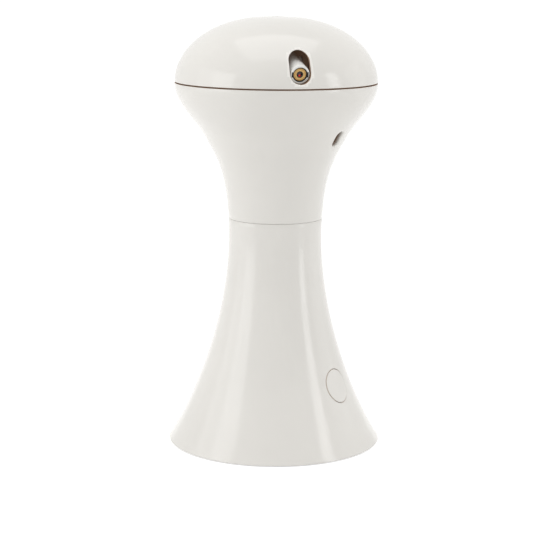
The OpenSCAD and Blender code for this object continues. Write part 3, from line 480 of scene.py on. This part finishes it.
def start_finish(name, place=None, stretch=(1, 1, 1)):
    """An empty finish: the material, its tree, its shader and the coordinates that its patterns read"""
    material = bpy.data.materials.new(name)
    material.use_nodes = True
    tree = material.node_tree
    shader = tree.nodes["Principled BSDF"]
    where = add(tree, "ShaderNodeTexCoord").outputs["Object"]
    if place is not None:
        inverse = place.inverted()
        where = add(tree, "ShaderNodeMapping", Vector=where, Location=inverse.to_translation(),
                    Rotation=inverse.to_euler()).outputs["Vector"]
    if tuple(stretch) != (1, 1, 1):
        where = add(tree, "ShaderNodeMapping", Vector=where, Scale=stretch).outputs["Vector"]
    return material, tree, shader, where


def noise(tree, where, scale, detail=3.0, roughness=0.5):
    """A noise value between 0 and 1"""
    return add(tree, "ShaderNodeTexNoise", Vector=where, Scale=scale, Detail=detail,
               Roughness=roughness).outputs["Fac"]


def ramp(tree, fac, low, high, start=0.35, end=0.65):
    """A colour or grey that runs from low to high while a value runs from start to end"""
    made = add(tree, "ShaderNodeValToRGB", Fac=fac)
    for stop, at, value in zip(made.color_ramp.elements, (start, end), (low, high)):
        stop.position = at
        stop.color = (*value, 1) if hasattr(value, "__len__") else (value, value, value, 1)
    return made.outputs["Color"]


def shades(base, spread):
    """A darker and a lighter shade of a colour"""
    return [min(1, c * (1 - spread)) for c in base], [min(1, c * (1 + spread)) for c in base]


def roughened(tree, shader, where, scale, depth, strength=0.3):
    """Gives a shader a fine relief of some depth"""
    height = noise(tree, where, scale, 2.0)
    bump = add(tree, "ShaderNodeBump", Height=height, Strength=strength, Distance=depth)
    tree.links.new(bump.outputs["Normal"], shader.inputs["Normal"])


def plastic(name, base, gloss, grain, depth, spread=0.015, painted_glow=0.0):
    """Moulded plastic: a faint random flow of tone, a roughness that wanders, a fine grain and maybe a painted
    glow
    """
    material, tree, shader, where = start_finish(name)
    low, high = shades(base, spread)
    flow, speckle = 28, 220
    shade = ramp(tree, noise(tree, where, flow if spread < 0.1 else speckle, 4.0), low, high)
    tree.links.new(shade, shader.inputs["Base Color"])
    # painted glow: the plastic's own colour is also given off as emission, though it is no lamp
    if painted_glow:
        tree.links.new(shade, shader.inputs["Emission Color"])
        shader.inputs["Emission Strength"].default_value = painted_glow
    wander = ramp(tree, noise(tree, where, 90, 4.0), gloss - 0.03, gloss + 0.03)
    tree.links.new(wander, shader.inputs["Roughness"])
    shader.inputs["IOR"].default_value = 1.45
    roughened(tree, shader, where, grain, depth)
    return material


def window_wall(name, place):
    """The wall of a light window, with painted shade: it runs from the dark chassis colour at its inner end to the
    pale shell colour outside
    """
    material, tree, shader, where = start_finish(name, place)
    colours, size = settings().finishes, settings().outline
    depth = add(tree, "ShaderNodeSeparateXYZ", Vector=where).outputs["Z"]
    outwards = add(tree, "ShaderNodeMapRange", Value=depth, From_Min=WINDOW_DEPTH - size.wall,
                   From_Max=WINDOW_DEPTH).outputs["Result"]
    # painted shade: the wall darkens towards its inner end
    tree.links.new(ramp(tree, outwards, colours.chassis, colours.shell, 0.1, 0.7), shader.inputs["Base Color"])
    tree.links.new(ramp(tree, noise(tree, where, 90, 4.0), 0.35, 0.45), shader.inputs["Roughness"])
    roughened(tree, shader, where, 1500, 0.01 * MM)
    return material


def metal(name, base, gloss, stretch=(1, 1, 1), place=None):
    """Drawn or turned metal, with streaks along the way that it was worked"""
    material, tree, shader, where = start_finish(name, place, stretch)
    low, high = shades(base, 0.10)
    streaks = noise(tree, where, 900, 5.0, 0.6)
    tree.links.new(ramp(tree, streaks, low, high), shader.inputs["Base Color"])
    tree.links.new(ramp(tree, streaks, gloss - 0.08, gloss + 0.08), shader.inputs["Roughness"])
    shader.inputs["Metallic"].default_value = 1.0
    roughened(tree, shader, where, 1500, 0.01 * MM)
    return material


def turned_brass(name, base, place):
    """Brass off a lathe: fine rings round the piece's own axis"""
    material, tree, shader, where = start_finish(name, place)
    rings = add(tree, "ShaderNodeTexWave", {"wave_type": "RINGS", "rings_direction": "Z"}, Vector=where,
                Scale=520.0, Distortion=0.6, Detail=2.0).outputs["Fac"]
    low, high = shades(base, 0.16)
    tree.links.new(ramp(tree, rings, low, high, 0.2, 0.8), shader.inputs["Base Color"])
    tree.links.new(ramp(tree, noise(tree, where, 700), 0.24, 0.38), shader.inputs["Roughness"])
    shader.inputs["Metallic"].default_value = 1.0
    bump = add(tree, "ShaderNodeBump", Height=rings, Strength=0.4, Distance=0.02 * MM)
    tree.links.new(bump.outputs["Normal"], shader.inputs["Normal"])
    return material


def rubbery(name, base):
    """Dull soft rubber with a dusty bloom"""
    material, tree, shader, where = start_finish(name)
    low, high = shades(base, 0.35)
    tree.links.new(ramp(tree, noise(tree, where, 160, 5.0), low, high), shader.inputs["Base Color"])
    shader.inputs["Roughness"].default_value = 0.72
    roughened(tree, shader, where, 2600, 0.02 * MM)
    return material


def jacket(name, base, steel, cap_z):
    """The printed jacket of a cell, bare steel at its cap, with a plain stripe"""
    material, tree, shader, where = start_finish(name)
    height = add(tree, "ShaderNodeSeparateXYZ", Vector=where).outputs["Z"]
    bands = add(tree, "ShaderNodeMapRange", Value=height, From_Min=cap_z - 50 * MM, From_Max=cap_z)
    made = add(tree, "ShaderNodeValToRGB", Fac=bands.outputs["Result"])
    made.color_ramp.interpolation = "CONSTANT"
    stops = made.color_ramp.elements
    stops[0].color = (*base, 1)
    stripe_at, cap_at = 0.72, 0.975
    stops[1].position, stops[1].color = stripe_at, (0.62, 0.60, 0.55, 1)
    stops.new(cap_at).color = (*steel, 1)
    tree.links.new(made.outputs["Color"], shader.inputs["Base Color"])
    tree.links.new(ramp(tree, noise(tree, where, 300), 0.22, 0.34), shader.inputs["Roughness"])
    shader.inputs["Metallic"].default_value = 0.35
    return material


def circuit(name, base):
    """Lacquered board: copper runs show lighter under the green"""
    material, tree, shader, where = start_finish(name)
    runs = add(tree, "ShaderNodeTexBrick", {"offset": 0.5}, Vector=where, Scale=260.0, Mortar_Size=0.06,
               Color1=(*base, 1), Color2=(*shades(base, 0.1)[0], 1), Mortar=(*[c * 2.2 for c in base], 1))
    tree.links.new(runs.outputs["Color"], shader.inputs["Base Color"])
    tree.links.new(ramp(tree, noise(tree, where, 400), 0.25, 0.4), shader.inputs["Roughness"])
    roughened(tree, shader, where, 1800, 0.01 * MM)
    return material


def glowing_lens(name, base, place):
    """Dark red glass with a glow in its lower half"""
    material, tree, shader, where = start_finish(name, place)
    spot = add(tree, "ShaderNodeVectorMath", {"operation": "DISTANCE"}, Vector=where)
    spot.inputs[1].default_value = Vector((0.1, -0.85, -1.8)) * MM
    reach = 1.4 * MM
    away = calc(tree, "DIVIDE", spot.outputs["Value"], reach)
    tree.links.new(ramp(tree, away, base, (0.012, 0.002, 0.001), 0.15, 0.5), shader.inputs["Emission Color"])
    shader.inputs["Emission Strength"].default_value = 0.9
    tree.links.new(ramp(tree, noise(tree, where, 900), (0.012, 0.003, 0.003), (0.03, 0.006, 0.005)),
                   shader.inputs["Base Color"])
    shader.inputs["Roughness"].default_value = 0.12
    return material


def finish_of(key):
    """The finish of a kind, made when it is first asked for"""
    known = bpy.data.materials.get(key)
    if known:
        return known
    colours = settings().finishes
    makers = {
        "gloss_shell": lambda: plastic(key, colours.shell, 0.15, 700, 0.01 * MM),
        # painted highlight: a lighter copy of the shell colour, for the slot's rounded rim
        "polished_rim": lambda: plastic(key, shades(colours.shell, 0.13)[1], 0.15, 700, 0.01 * MM),
        "gloss_barrel": lambda: plastic(key, colours.barrel, 0.26, 1500, 0.01 * MM),
        "inner_plastic": lambda: plastic(key, colours.inner, 0.45, 2400, 0.03 * MM, 0.03),
        # painted shade for the gap round the button
        "skirt_plastic": lambda: plastic(key, colours.skirt, 0.45, 2400, 0.02 * MM, 0.03),
        # the dark chassis plastic, also used as painted shade, with a faint painted glow of 0.1
        "chassis_plastic": lambda: plastic(key, colours.chassis, 0.5, 2400, 0.03 * MM, 0.12, 0.1),
        "gear_plastic": lambda: plastic(key, colours.gear, 0.38, 1800, 0.01 * MM, 0.02),
        "drawn_steel": lambda: metal(key, colours.steel, 0.32, (1, 1, 0.12)),
        "soft_rubber": lambda: rubbery(key, colours.rubber),
        "cell_jacket": lambda: jacket(key, colours.jacket, colours.steel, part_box("battery_cells")[1].z),
        "green_board": lambda: circuit(key, colours.board),
        "switch_black": lambda: plastic(key, (0.02, 0.02, 0.021), 0.4, 2400, 0.02 * MM, 0.3),
        "worked_brass": lambda: metal(key, colours.brass, 0.3),
        "track_copper": lambda: metal(key, colours.copper, 0.28),
    }
    return makers[key]()


# ---- Operators: one for each piece or group of pieces ----

class LASERTOY_OT_stage(bpy.types.Operator):
    """Sets the camera, the floor and a plain soft light"""
    bl_idname = "laser_toy.stage"
    bl_label = "Stage"

    def execute(self, context):
        stage = settings().stage
        self.camera(context, stage)
        self.world(context, stage)
        self.floor(context)
        lamps = {
            "left_light": (-73, LAMP_AWAY, LAMP_H, (0.80, 0.80)),
            "left_strip": (-62, LAMP_AWAY, LAMP_H, (0.40, 0.80)),
            "right_strip": (66, LAMP_AWAY, LAMP_H, (0.20, 0.80)),
            "rear_light": (100, LAMP_AWAY, LAMP_H, (0.45, 0.80)),
            "top_light": (0, 0.02, 1.10, (0.90, 0.90)),
        }
        for name, (turn, away, height, size) in lamps.items():
            spot = Matrix.Rotation(stage.camera_az + math.radians(turn), 4, "Z") @ Vector((0, -away, height))
            self.lamp(name, spot, size, getattr(stage, name))
        return {"FINISHED"}

    def camera(self, context, stage):
        """The camera, at the photograph's viewing angle"""
        data = bpy.data.cameras.new("camera")
        data.lens = stage.lens
        data.clip_start, data.clip_end = 0.01, 50
        camera = bpy.data.objects.new("camera", data)
        context.scene.collection.objects.link(camera)
        camera.matrix_world = (
            Matrix.Rotation(stage.camera_az, 4, "Z")
            @ Matrix.Translation((0, -stage.camera_away, stage.camera_h))
            @ Matrix.Rotation(-stage.camera_yaw, 4, "Z")
            @ Matrix.Rotation(math.pi / 2 - stage.camera_pitch, 4, "X")
            @ Matrix.Rotation(stage.camera_roll, 4, "Z"))
        context.scene.camera = camera
        context.scene.view_settings.view_transform = "Standard"

    def world(self, context, stage):
        """Even light all round; what the camera and mirrors see of it is white"""
        world = bpy.data.worlds.new("world")
        world.use_nodes = True
        tree = world.node_tree
        background = tree.nodes["Background"]
        seen = self.seen_directly(tree)
        strength = add(tree, "ShaderNodeMapRange", Value=seen, To_Min=stage.world_light, To_Max=1.0)
        tree.links.new(strength.outputs["Result"], background.inputs["Strength"])
        background.inputs["Color"].default_value = (1, 0.995, 0.985, 1)
        context.scene.world = world

    def seen_directly(self, tree):
        """1 for rays from the camera, in a mirror or through glass, else 0"""
        rays = add(tree, "ShaderNodeLightPath").outputs
        straight = calc(tree, "MAXIMUM", rays["Is Camera Ray"], rays["Is Glossy Ray"])
        return calc(tree, "MAXIMUM", straight, rays["Is Transmission Ray"])

    def floor(self, context):
        """A white floor that keeps the object's shadow"""
        bm = bmesh.new()
        bmesh.ops.create_grid(bm, x_segments=1, y_segments=1, size=14)
        mesh = bpy.data.meshes.new("floor")
        bm.to_mesh(mesh)
        bm.free()
        floor = bpy.data.objects.new("floor", mesh)
        context.scene.collection.objects.link(floor)
        material = bpy.data.materials.new("floor")
        material.use_nodes = True
        tree = material.node_tree
        shader = tree.nodes["Principled BSDF"]
        shader.inputs["Base Color"].default_value = (0.87, 0.87, 0.87, 1)
        shader.inputs["Roughness"].default_value = 0.9
        shader.inputs["Specular IOR Level"].default_value = 0
        shader.inputs["Emission Color"].default_value = (1, 1, 1, 1)
        lift = calc(tree, "MULTIPLY", self.seen_directly(tree), 0.5)
        tree.links.new(lift, shader.inputs["Emission Strength"])
        mesh.materials.append(material)

    def lamp(self, name, place, size, power):
        """A soft rectangular lamp aimed at the middle of the object"""
        data = bpy.data.lights.new(name, "AREA")
        data.shape = "RECTANGLE"
        data.size, data.size_y = size
        data.energy = power
        lamp = bpy.data.objects.new(name, data)
        bpy.context.scene.collection.objects.link(lamp)
        middle = Vector((0, 0, CAD_BOX[1].z / 2))
        aim = (middle - place).to_track_quat("-Z", "Y").to_matrix().to_4x4()
        lamp.matrix_world = Matrix.Translation(place) @ aim


class LASERTOY_OT_dome(bpy.types.Operator):
    """Makes the domed cap, with the rounded rim of its slot"""
    bl_idname = "laser_toy.dome"
    bl_label = "Dome"

    def execute(self, context):
        size, openings = settings().outline, settings().openings
        outer = between(dome_outline(), dome_rim(), DOME_BOX[1].z)
        inner = inset(outer, size.wall)
        inner[0].z = dome_rim()
        profile = inner[::-1] + outer
        corners = (len(inner) - 1, len(inner))
        shell = revolve(softened(profile, corners, size.edge), size.turns)
        tree = BVHTree.FromBMesh(shell)
        centre = seam_height() + openings.slot_rise + openings.slot_h / 2
        slot = opening_tool(
            tree, aimed(0, centre), openings.slot_w, openings.slot_h, openings.slot_lip, depth=9 * MM)
        shell = carved(shell, [slot])
        # Painted shade and highlight: the dome's inside, its rim in the seam and the slot's right wall get the
        # dark chassis plastic as painted shade, and the slot's rounded rim a lighter shell colour as a painted
        # highlight
        painted_by_face(shell, lambda spot, normal: self.painted_light_of(spot, normal, centre))
        piece("dome", shell, finish_of("gloss_shell"), "turning_cap", ["dome_cover"], SHARP,
              [finish_of("chassis_plastic"), finish_of("polished_rim")])
        return {"FINISHED"}

    def painted_light_of(self, spot, normal, centre):
        """1 (the dark chassis plastic, as painted shade) on the dome's inside, its lower rim and the slot's wall
        on the right side, 2 (a painted highlight) on the slot's rounded rim, else 0
        """
        openings = settings().openings
        middle = Vector((0, 0, seam_height() - 15 * MM))
        inside = normal.dot((middle - spot).normalized()) > 0.75
        lower_rim = normal.z < -0.8 and spot.z < dome_rim() + 0.1 * MM
        # painted shade: the dome's inside and its rim down in the seam are dark because little light reaches them
        if inside or lower_rim:
            return 1
        past_wall = beyond_wall(Vector((spot.x, spot.z - centre, 0)), openings.slot_w, openings.slot_h)
        if spot.y > 0 or past_wall > LIP_EDGE * openings.slot_lip:
            return 0
        # painted highlight on the slot's rounded rim
        if past_wall > TOUCH:
            return 2
        # painted shade: only the slot's wall on the right side, which lies in shade, is dark
        return 1 if spot.x > 0 else 0


class LASERTOY_OT_head(bpy.types.Operator):
    """Makes the bowl-shaped head, with its two light windows"""
    bl_idname = "laser_toy.head"
    bl_label = "Head"

    def execute(self, context):
        size, openings = settings().outline, settings().openings
        outer = between(body_outline(), HEAD_BOX[0].z, HEAD_BOX[1].z)
        inner = between(inset(body_outline(), size.wall), HEAD_BOX[0].z, HEAD_BOX[1].z)
        profile = outer + inner[::-1]
        top = len(outer) - 1
        profile = softened(profile, (top, top + 1), size.edge)
        shell = revolve(softened(profile, (0,), 0.2 * MM, 2), size.turns)
        tree = BVHTree.FromBMesh(shell)
        height = window_height()
        places = [aimed(0, height, turn, 0) @ tilt_about_wall(height, openings.window_dip)
                  for turn in (openings.side_window, openings.rear_window)]
        shell = carved(shell, [
            opening_tool(tree, place, openings.window_w, openings.window_h, openings.window_lip, depth=7 * MM)
            for place in places])
        windows = [place.inverted() for place in places]
        # Painted shade on the head's inside, its upper rim in the seam and the windows' walls
        painted_by_face(shell, lambda spot, normal: self.painted_light_of(spot, normal, windows))
        walls = [window_wall(name, place) for name, place in zip(("side_window_wall", "rear_window_wall"), places)]
        piece("head", shell, finish_of("gloss_shell"), "stand", ["head_shell"], SHARP,
              [finish_of("chassis_plastic"), *walls])
        return {"FINISHED"}

    def painted_light_of(self, spot, normal, windows):
        """1 (the dark chassis plastic, as painted shade) on the head's inside and its upper rim, 2 and 3 on the
        windows' walls with their painted shade, else 0
        """
        openings = settings().openings
        for number, window in enumerate(windows, 2):
            at = window @ spot
            if at.z > 0 and beyond_wall(at, openings.window_w, openings.window_h) < TOUCH:
                return number
        # painted shade: the head's inside and its rim in the seam are dark because little light reaches them
        inside = normal.dot(Vector((-spot.x, -spot.y, 0)).normalized()) > 0.7
        rim = normal.z > 0.8 and spot.z > HEAD_BOX[1].z - 0.1 * MM
        return 1 if inside or rim else 0


def window_height():
    """Height of the windows' middles"""
    return STAND_BOX[0].z + settings().outline.turn_h + settings().openings.window_rise


def tilt_about_wall(height, dip):
    """Turns a place that faces straight out so that it faces down, about a point in the outer wall"""
    reach = Matrix.Translation((0, 0, radius_at(body_outline(), height)))
    return reach @ Matrix.Rotation(dip, 4, "X") @ Matrix.Translation((0, 0, -WINDOW_DEPTH))


class LASERTOY_OT_stand(bpy.types.Operator):
    """Makes the trumpet-shaped stand, with the spigot in the head and the hole for the button"""
    bl_idname = "laser_toy.stand"
    bl_label = "Stand"

    def execute(self, context):
        size, openings = settings().outline, settings().openings
        rim_z, neck_z = STAND_BOX[0].z, HEAD_BOX[0].z - 0.1 * MM
        outer = between(body_outline(), rim_z, neck_z)
        inner_line = inset(body_outline(), size.wall)
        inner = between(inner_line, rim_z, neck_z - SPIGOT_DROP)
        spigot_r = radius_at(inner_line, neck_z) - 0.3 * MM
        spigot = [Vector((spigot_r, 0, neck_z)), Vector((spigot_r, 0, STAND_BOX[1].z)),
                  Vector((spigot_r - SPIGOT_WALL, 0, STAND_BOX[1].z)),
                  Vector((spigot_r - SPIGOT_WALL, 0, neck_z - SPIGOT_DROP))]
        profile = softened(outer + spigot + inner[::-1], (len(outer) - 1,), 0.2 * MM, 2)
        profile = softened(profile, (0, len(profile) - 1), size.edge)
        shell = revolve(profile, size.turns)
        tree = BVHTree.FromBMesh(shell)
        hole_d = openings.button_d + 2 * openings.button_gap
        hole = opening_tool(tree, button_place(), hole_d, hole_d, lip=0.25 * MM, depth=6 * MM)
        inverse = button_place().inverted()

        def in_hole(spot, normal):
            at = inverse @ spot
            return at.z > 0 and beyond_wall(at, hole_d, hole_d) < 0

        # painted shade: the wall of the button's hole gets the brownish painted-shade finish
        shell = painted_by_face(carved(shell, [hole]), in_hole)
        piece("stand", shell, finish_of("gloss_shell"), "stand", ["base_shell"], SHARP,
              [finish_of("skirt_plastic")])
        return {"FINISHED"}


def button_place():
    """The button's own axis, from the middle of the stand"""
    openings = settings().openings
    return aimed(0, STAND_BOX[0].z + openings.button_h, openings.button_az)


class LASERTOY_OT_button(bpy.types.Operator):
    """Makes the push button, whose face follows the stand and is slightly hollow"""
    bl_idname = "laser_toy.button"
    bl_label = "Button"

    def execute(self, context):
        openings = settings().openings
        radius = openings.button_d / 2
        edge = 0.3 * MM
        face = [(radius * k / 12, -openings.button_dish * (1 - (k / 12) ** 2) ** 2) for k in range(12)]
        face.append((radius - edge, 0))
        face += [(radius - edge + edge * math.sin(math.radians(a)), -edge * (1 - math.cos(math.radians(a))))
                 for a in (30, 60, 90)]
        skin, skirt = 2 * MM, 7 * MM
        back = [(radius, -skirt), (radius - 1.6 * MM, -skirt), (radius - 1.6 * MM, -skin), (0, -skin)]
        cup = revolve([Vector((r, 0, z)) for r, z in face + back], 96)
        place = button_place()
        middle, reach = place.translation.z, openings.button_d * 0.7
        line = between(body_outline(3), middle - reach, middle + reach, 0)
        band = revolve(line, 2 * settings().outline.turns)
        tree = BVHTree.FromBMesh(band)
        band.free()
        for v in cup.verts:
            v.co.z += reach_of(tree, place, v.co.x, v.co.y) - 0.1 * MM
        back_reach = self.back_of(place)
        flange = turned_part([(0, 0), (9.5, 0), (9.5, 1.2), (0, 1.2)], 64)
        placed(flange, Matrix.Translation((0, 0, back_reach + 2.4 * MM)))
        stem_l = (reach_of(tree, place, 0, 0) - back_reach) / MM - 1.5
        stem = turned_part([(0, 0), (1.9, 0), (2.2, 0.3), (2.2, stem_l), (0, stem_l)], 32)
        placed(stem, Matrix.Translation((0, 0, back_reach)))
        # painted shade: the button's skirt and the faces behind it get the brownish painted-shade finish
        whole = painted_by_face(joined(cup, flange, stem), lambda spot, normal: normal.z < 0.3)
        piece("button", placed(whole, place), finish_of("gloss_shell"), "push_button",
              ["power_button"], 30, [finish_of("skirt_plastic")])
        return {"FINISHED"}

    def back_of(self, place):
        """How far from the axis the back of the button's stem lies"""
        inverse = place.inverted()
        return min((inverse @ v.co).z for v in frame["nodes"]["power_button"].data.vertices)


class LASERTOY_OT_upper_laser(bpy.types.Operator):
    """Makes the tilting laser in the dome's slot"""
    bl_idname = "laser_toy.upper_laser"
    bl_label = "Upper laser"

    def execute(self, context):
        laser = settings().laser
        along = Vector((0, -math.cos(laser.dip), -math.sin(laser.dip)))
        mouth = TILT_PIVOT + along * laser.pivot_back
        place = aimed(-mouth.y, mouth.z, 0, laser.dip)
        make_laser("upper", place, laser.upper_l, "tilting_laser")
        return {"FINISHED"}


class LASERTOY_OT_lower_laser(bpy.types.Operator):
    """Makes the laser on the turning shaft, behind the windows"""
    bl_idname = "laser_toy.lower_laser"
    bl_label = "Lower laser"

    def execute(self, context):
        laser, openings = settings().laser, settings().openings
        height = window_height() - laser.aim_drop
        dip = openings.window_dip
        radius = radius_at(body_outline(), height) - laser.lower_back * math.cos(dip)
        place = aimed(radius, height + laser.lower_back * math.sin(dip), openings.rear_window, dip)
        make_laser("lower", place, laser.lower_l, "turning_cap")
        return {"FINISHED"}


def make_laser(which, place, length, body):
    """A laser: barrel, rubber sleeve with two keys, turned brass module, black insert and glowing lens"""
    laser = settings().laser
    barrel_r, module_r = laser.barrel_d / 2 / MM, laser.module_d / 2 / MM
    bore_r = barrel_r - laser.barrel_wall / MM
    aperture_r, module_l, barrel_l = laser.aperture_d / 2 / MM, laser.module_l / MM, length / MM
    node = which + "_laser_"

    tube = turned_part([(bore_r, -barrel_l), (barrel_r - 0.3, -barrel_l), (barrel_r, 0.3 - barrel_l),
                        (barrel_r, -0.45), (barrel_r - 0.06, -0.22), (barrel_r - 0.22, -0.06),
                        (barrel_r - 0.45, 0), (bore_r + 0.25, 0), (bore_r + 0.08, -0.06), (bore_r, -0.2)], 96)
    key_half, key_l, key_out = 1.3, 2.2, bore_r + 0.5
    way_half = key_half + 0.05
    keyway = block(Vector((-key_out, -way_half, -key_l)) * MM, Vector((key_out, way_half, 1)) * MM)
    if which == "upper":
        tube = carved(tube, [pivot_boss(bore_r, laser)], "UNION")
    tube = placed(carved(tube, [keyway]), place)
    piece(which + "_barrel", tube, finish_of("gloss_barrel"), body, [node + "barrel"], 35)

    ring = turned_part([(module_r, -module_l - 1), (bore_r, -module_l - 1), (bore_r, -0.6),
                        (bore_r - 0.1, -0.5), (module_r, -0.5)], 64)
    keys = [block(Vector((low, -key_half, -key_l)) * MM, Vector((high, key_half, -0.6)) * MM)
            for low, high in ((bore_r - 0.15, key_out), (-key_out, 0.15 - bore_r))]
    sleeve = placed(joined(ring, *keys), place)
    piece(which + "_sleeve", sleeve, finish_of("soft_rubber"), body, [node + "sleeve"], 35)

    groove = [(r + dr, z) for r in (2.75, 2.3) for dr, z in ((0.09, -0.7), (0, -0.8), (-0.09, -0.7))]
    core = turned_part([(0, -module_l - 3), (module_r - 0.5, -module_l - 3), (module_r - 0.5, -module_l),
                        (module_r - 0.1, -module_l), (module_r, 0.1 - module_l), (module_r, -0.95),
                        (module_r - 0.1, -0.78), (module_r - 0.25, -0.7), *groove,
                        (aperture_r + 0.3, -0.7), (aperture_r + 0.08, -0.78), (aperture_r, -0.95),
                        (aperture_r, -2.6), (0, -2.6)], 96)
    brass = turned_brass(which + "_module_brass", settings().finishes.brass, place)
    piece(which + "_module", placed(core, place), brass, body, [node + "module"], 30)

    tube = turned_part([(aperture_r - 0.25, -1.9), (aperture_r - 0.02, -1.9), (aperture_r - 0.02, -0.9),
                        (aperture_r - 0.12, -0.85), (aperture_r - 0.25, -0.95)], 64)
    piece(which + "_insert", placed(tube, place), finish_of("switch_black"), body, (), 30)

    glass = turned_part([(0, -2.55), (aperture_r - 0.05, -2.55), (aperture_r - 0.05, -1.95), (1.0, -1.8),
                         (0.5, -1.7), (0, -1.67)], 48)
    lens = glowing_lens(which + "_lens_glass", settings().finishes.lens, place)
    piece(which + "_lens", placed(glass, place), lens, body, [node + "lens"], 60)


def pivot_boss(bore_r, laser):
    """The flat-faced bosses that the tilt screws run into, in the barrel's own frame"""
    cheek = laser.barrel_d / 2 + 0.45 * MM
    boss = turned_part([(0, -cheek / MM), (2.6, -cheek / MM), (2.8, 0.2 - cheek / MM),
                        (2.8, cheek / MM - 0.2), (2.6, cheek / MM), (0, cheek / MM)], 48)
    placed(boss, Matrix.Translation((0, 0, -laser.pivot_back)) @ Matrix.Rotation(math.pi / 2, 4, "Y"))
    bore = turned_part([(0, -40), (bore_r, -40), (bore_r, 5), (0, 5)], 96)
    return carved(boss, [bore])


class LASERTOY_OT_underside(bpy.types.Operator):
    """Makes the four rubber feet"""
    bl_idname = "laser_toy.underside"
    bl_label = "Underside"

    def execute(self, context):
        self.feet()
        return {"FINISHED"}

    def feet(self):
        """Four rubber feet with a shallow dish in each sole"""
        low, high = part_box("rubber_feet")
        radius = 5.5
        top = high.z / MM
        reach = high.x / MM - radius
        sole = [(0, 0.25), (2.5, 0.2), (3.2, 0), (radius - 0.6, 0), (radius - 0.2, 0.12), (radius, 0.5)]
        feet = [placed(turned_part([*sole, (radius, top), (0, top)], 48),
                       Matrix.Rotation(math.radians(90 * k), 4, "Z") @ Matrix.Translation((0, -reach * MM, 0)))
                for k in range(4)]
        piece("feet", joined(*feet), finish_of("soft_rubber"), "stand", ["rubber_feet"], 40)


class LASERTOY_OT_inner_pieces(bpy.types.Operator):
    """Gives every piece that keeps its CAD shape its own finish"""
    bl_idname = "laser_toy.inner_pieces"
    bl_label = "Inner pieces"

    def execute(self, context):
        kinds = {
            "steel": "drawn_steel", "inner_plastic": "inner_plastic", "gear_plastic": "gear_plastic",
            "chassis": "chassis_plastic", "rubber": "soft_rubber", "cell_jacket": "cell_jacket",
            "board": "green_board", "switch_black": "switch_black", "brass": "worked_brass",
            "copper": "track_copper", "shell": "gloss_shell", "barrel": "gloss_barrel",
            "laser_lens": "gloss_barrel",
        }
        slots = {part["node"]: part["material_slot"] for part in frame["record"]["subparts"]}
        for name, node in frame["nodes"].items():
            if not node.hide_render:
                for place in node.material_slots:
                    place.material = finish_of(kinds[slots[name]])
        return {"FINISHED"}


class LASERTOY_PT_pieces(bpy.types.Panel):
    """Lists the pieces and their sizes"""
    bl_idname = "LASERTOY_PT_pieces"
    bl_label = "Laser toy"
    bl_space_type = "VIEW_3D"
    bl_region_type = "UI"
    bl_category = "Laser toy"

    def draw(self, context):
        for operator in OPERATORS:
            self.layout.operator(operator.bl_idname)
        toy = context.scene.laser_toy
        for group in (toy.outline, toy.openings, toy.laser, toy.finishes, toy.stage):
            box = self.layout.box()
            for name in group.bl_rna.properties.keys():
                if name not in ("rna_type", "name"):
                    box.prop(group, name)


class LaserToy(bpy.types.PropertyGroup):
    """All sizes, colours and stage settings"""
    outline: PointerProperty(type=OutlineSizes)
    openings: PointerProperty(type=OpeningSizes)
    laser: PointerProperty(type=LaserSizes)
    finishes: PointerProperty(type=Finishes)
    stage: PointerProperty(type=StageSettings)


OPERATORS = (
    LASERTOY_OT_stage, LASERTOY_OT_dome, LASERTOY_OT_head, LASERTOY_OT_stand, LASERTOY_OT_button,
    LASERTOY_OT_upper_laser, LASERTOY_OT_lower_laser, LASERTOY_OT_underside, LASERTOY_OT_inner_pieces,
)
CLASSES = (
    OutlineSizes, OpeningSizes, LaserSizes, Finishes, StageSettings, LaserToy, *OPERATORS, LASERTOY_PT_pieces,
)


def register():
    for item in CLASSES:
        bpy.utils.register_class(item)
    bpy.types.Scene.laser_toy = PointerProperty(type=LaserToy)


def unregister():
    del bpy.types.Scene.laser_toy
    for item in reversed(CLASSES):
        bpy.utils.unregister_class(item)


def main():
    """Registers the add-on's classes and builds every piece in order"""
    register()
    for operator in OPERATORS:
        getattr(bpy.ops.laser_toy, operator.bl_idname.split(".")[1])()


if __name__ == "__main__":
    main()
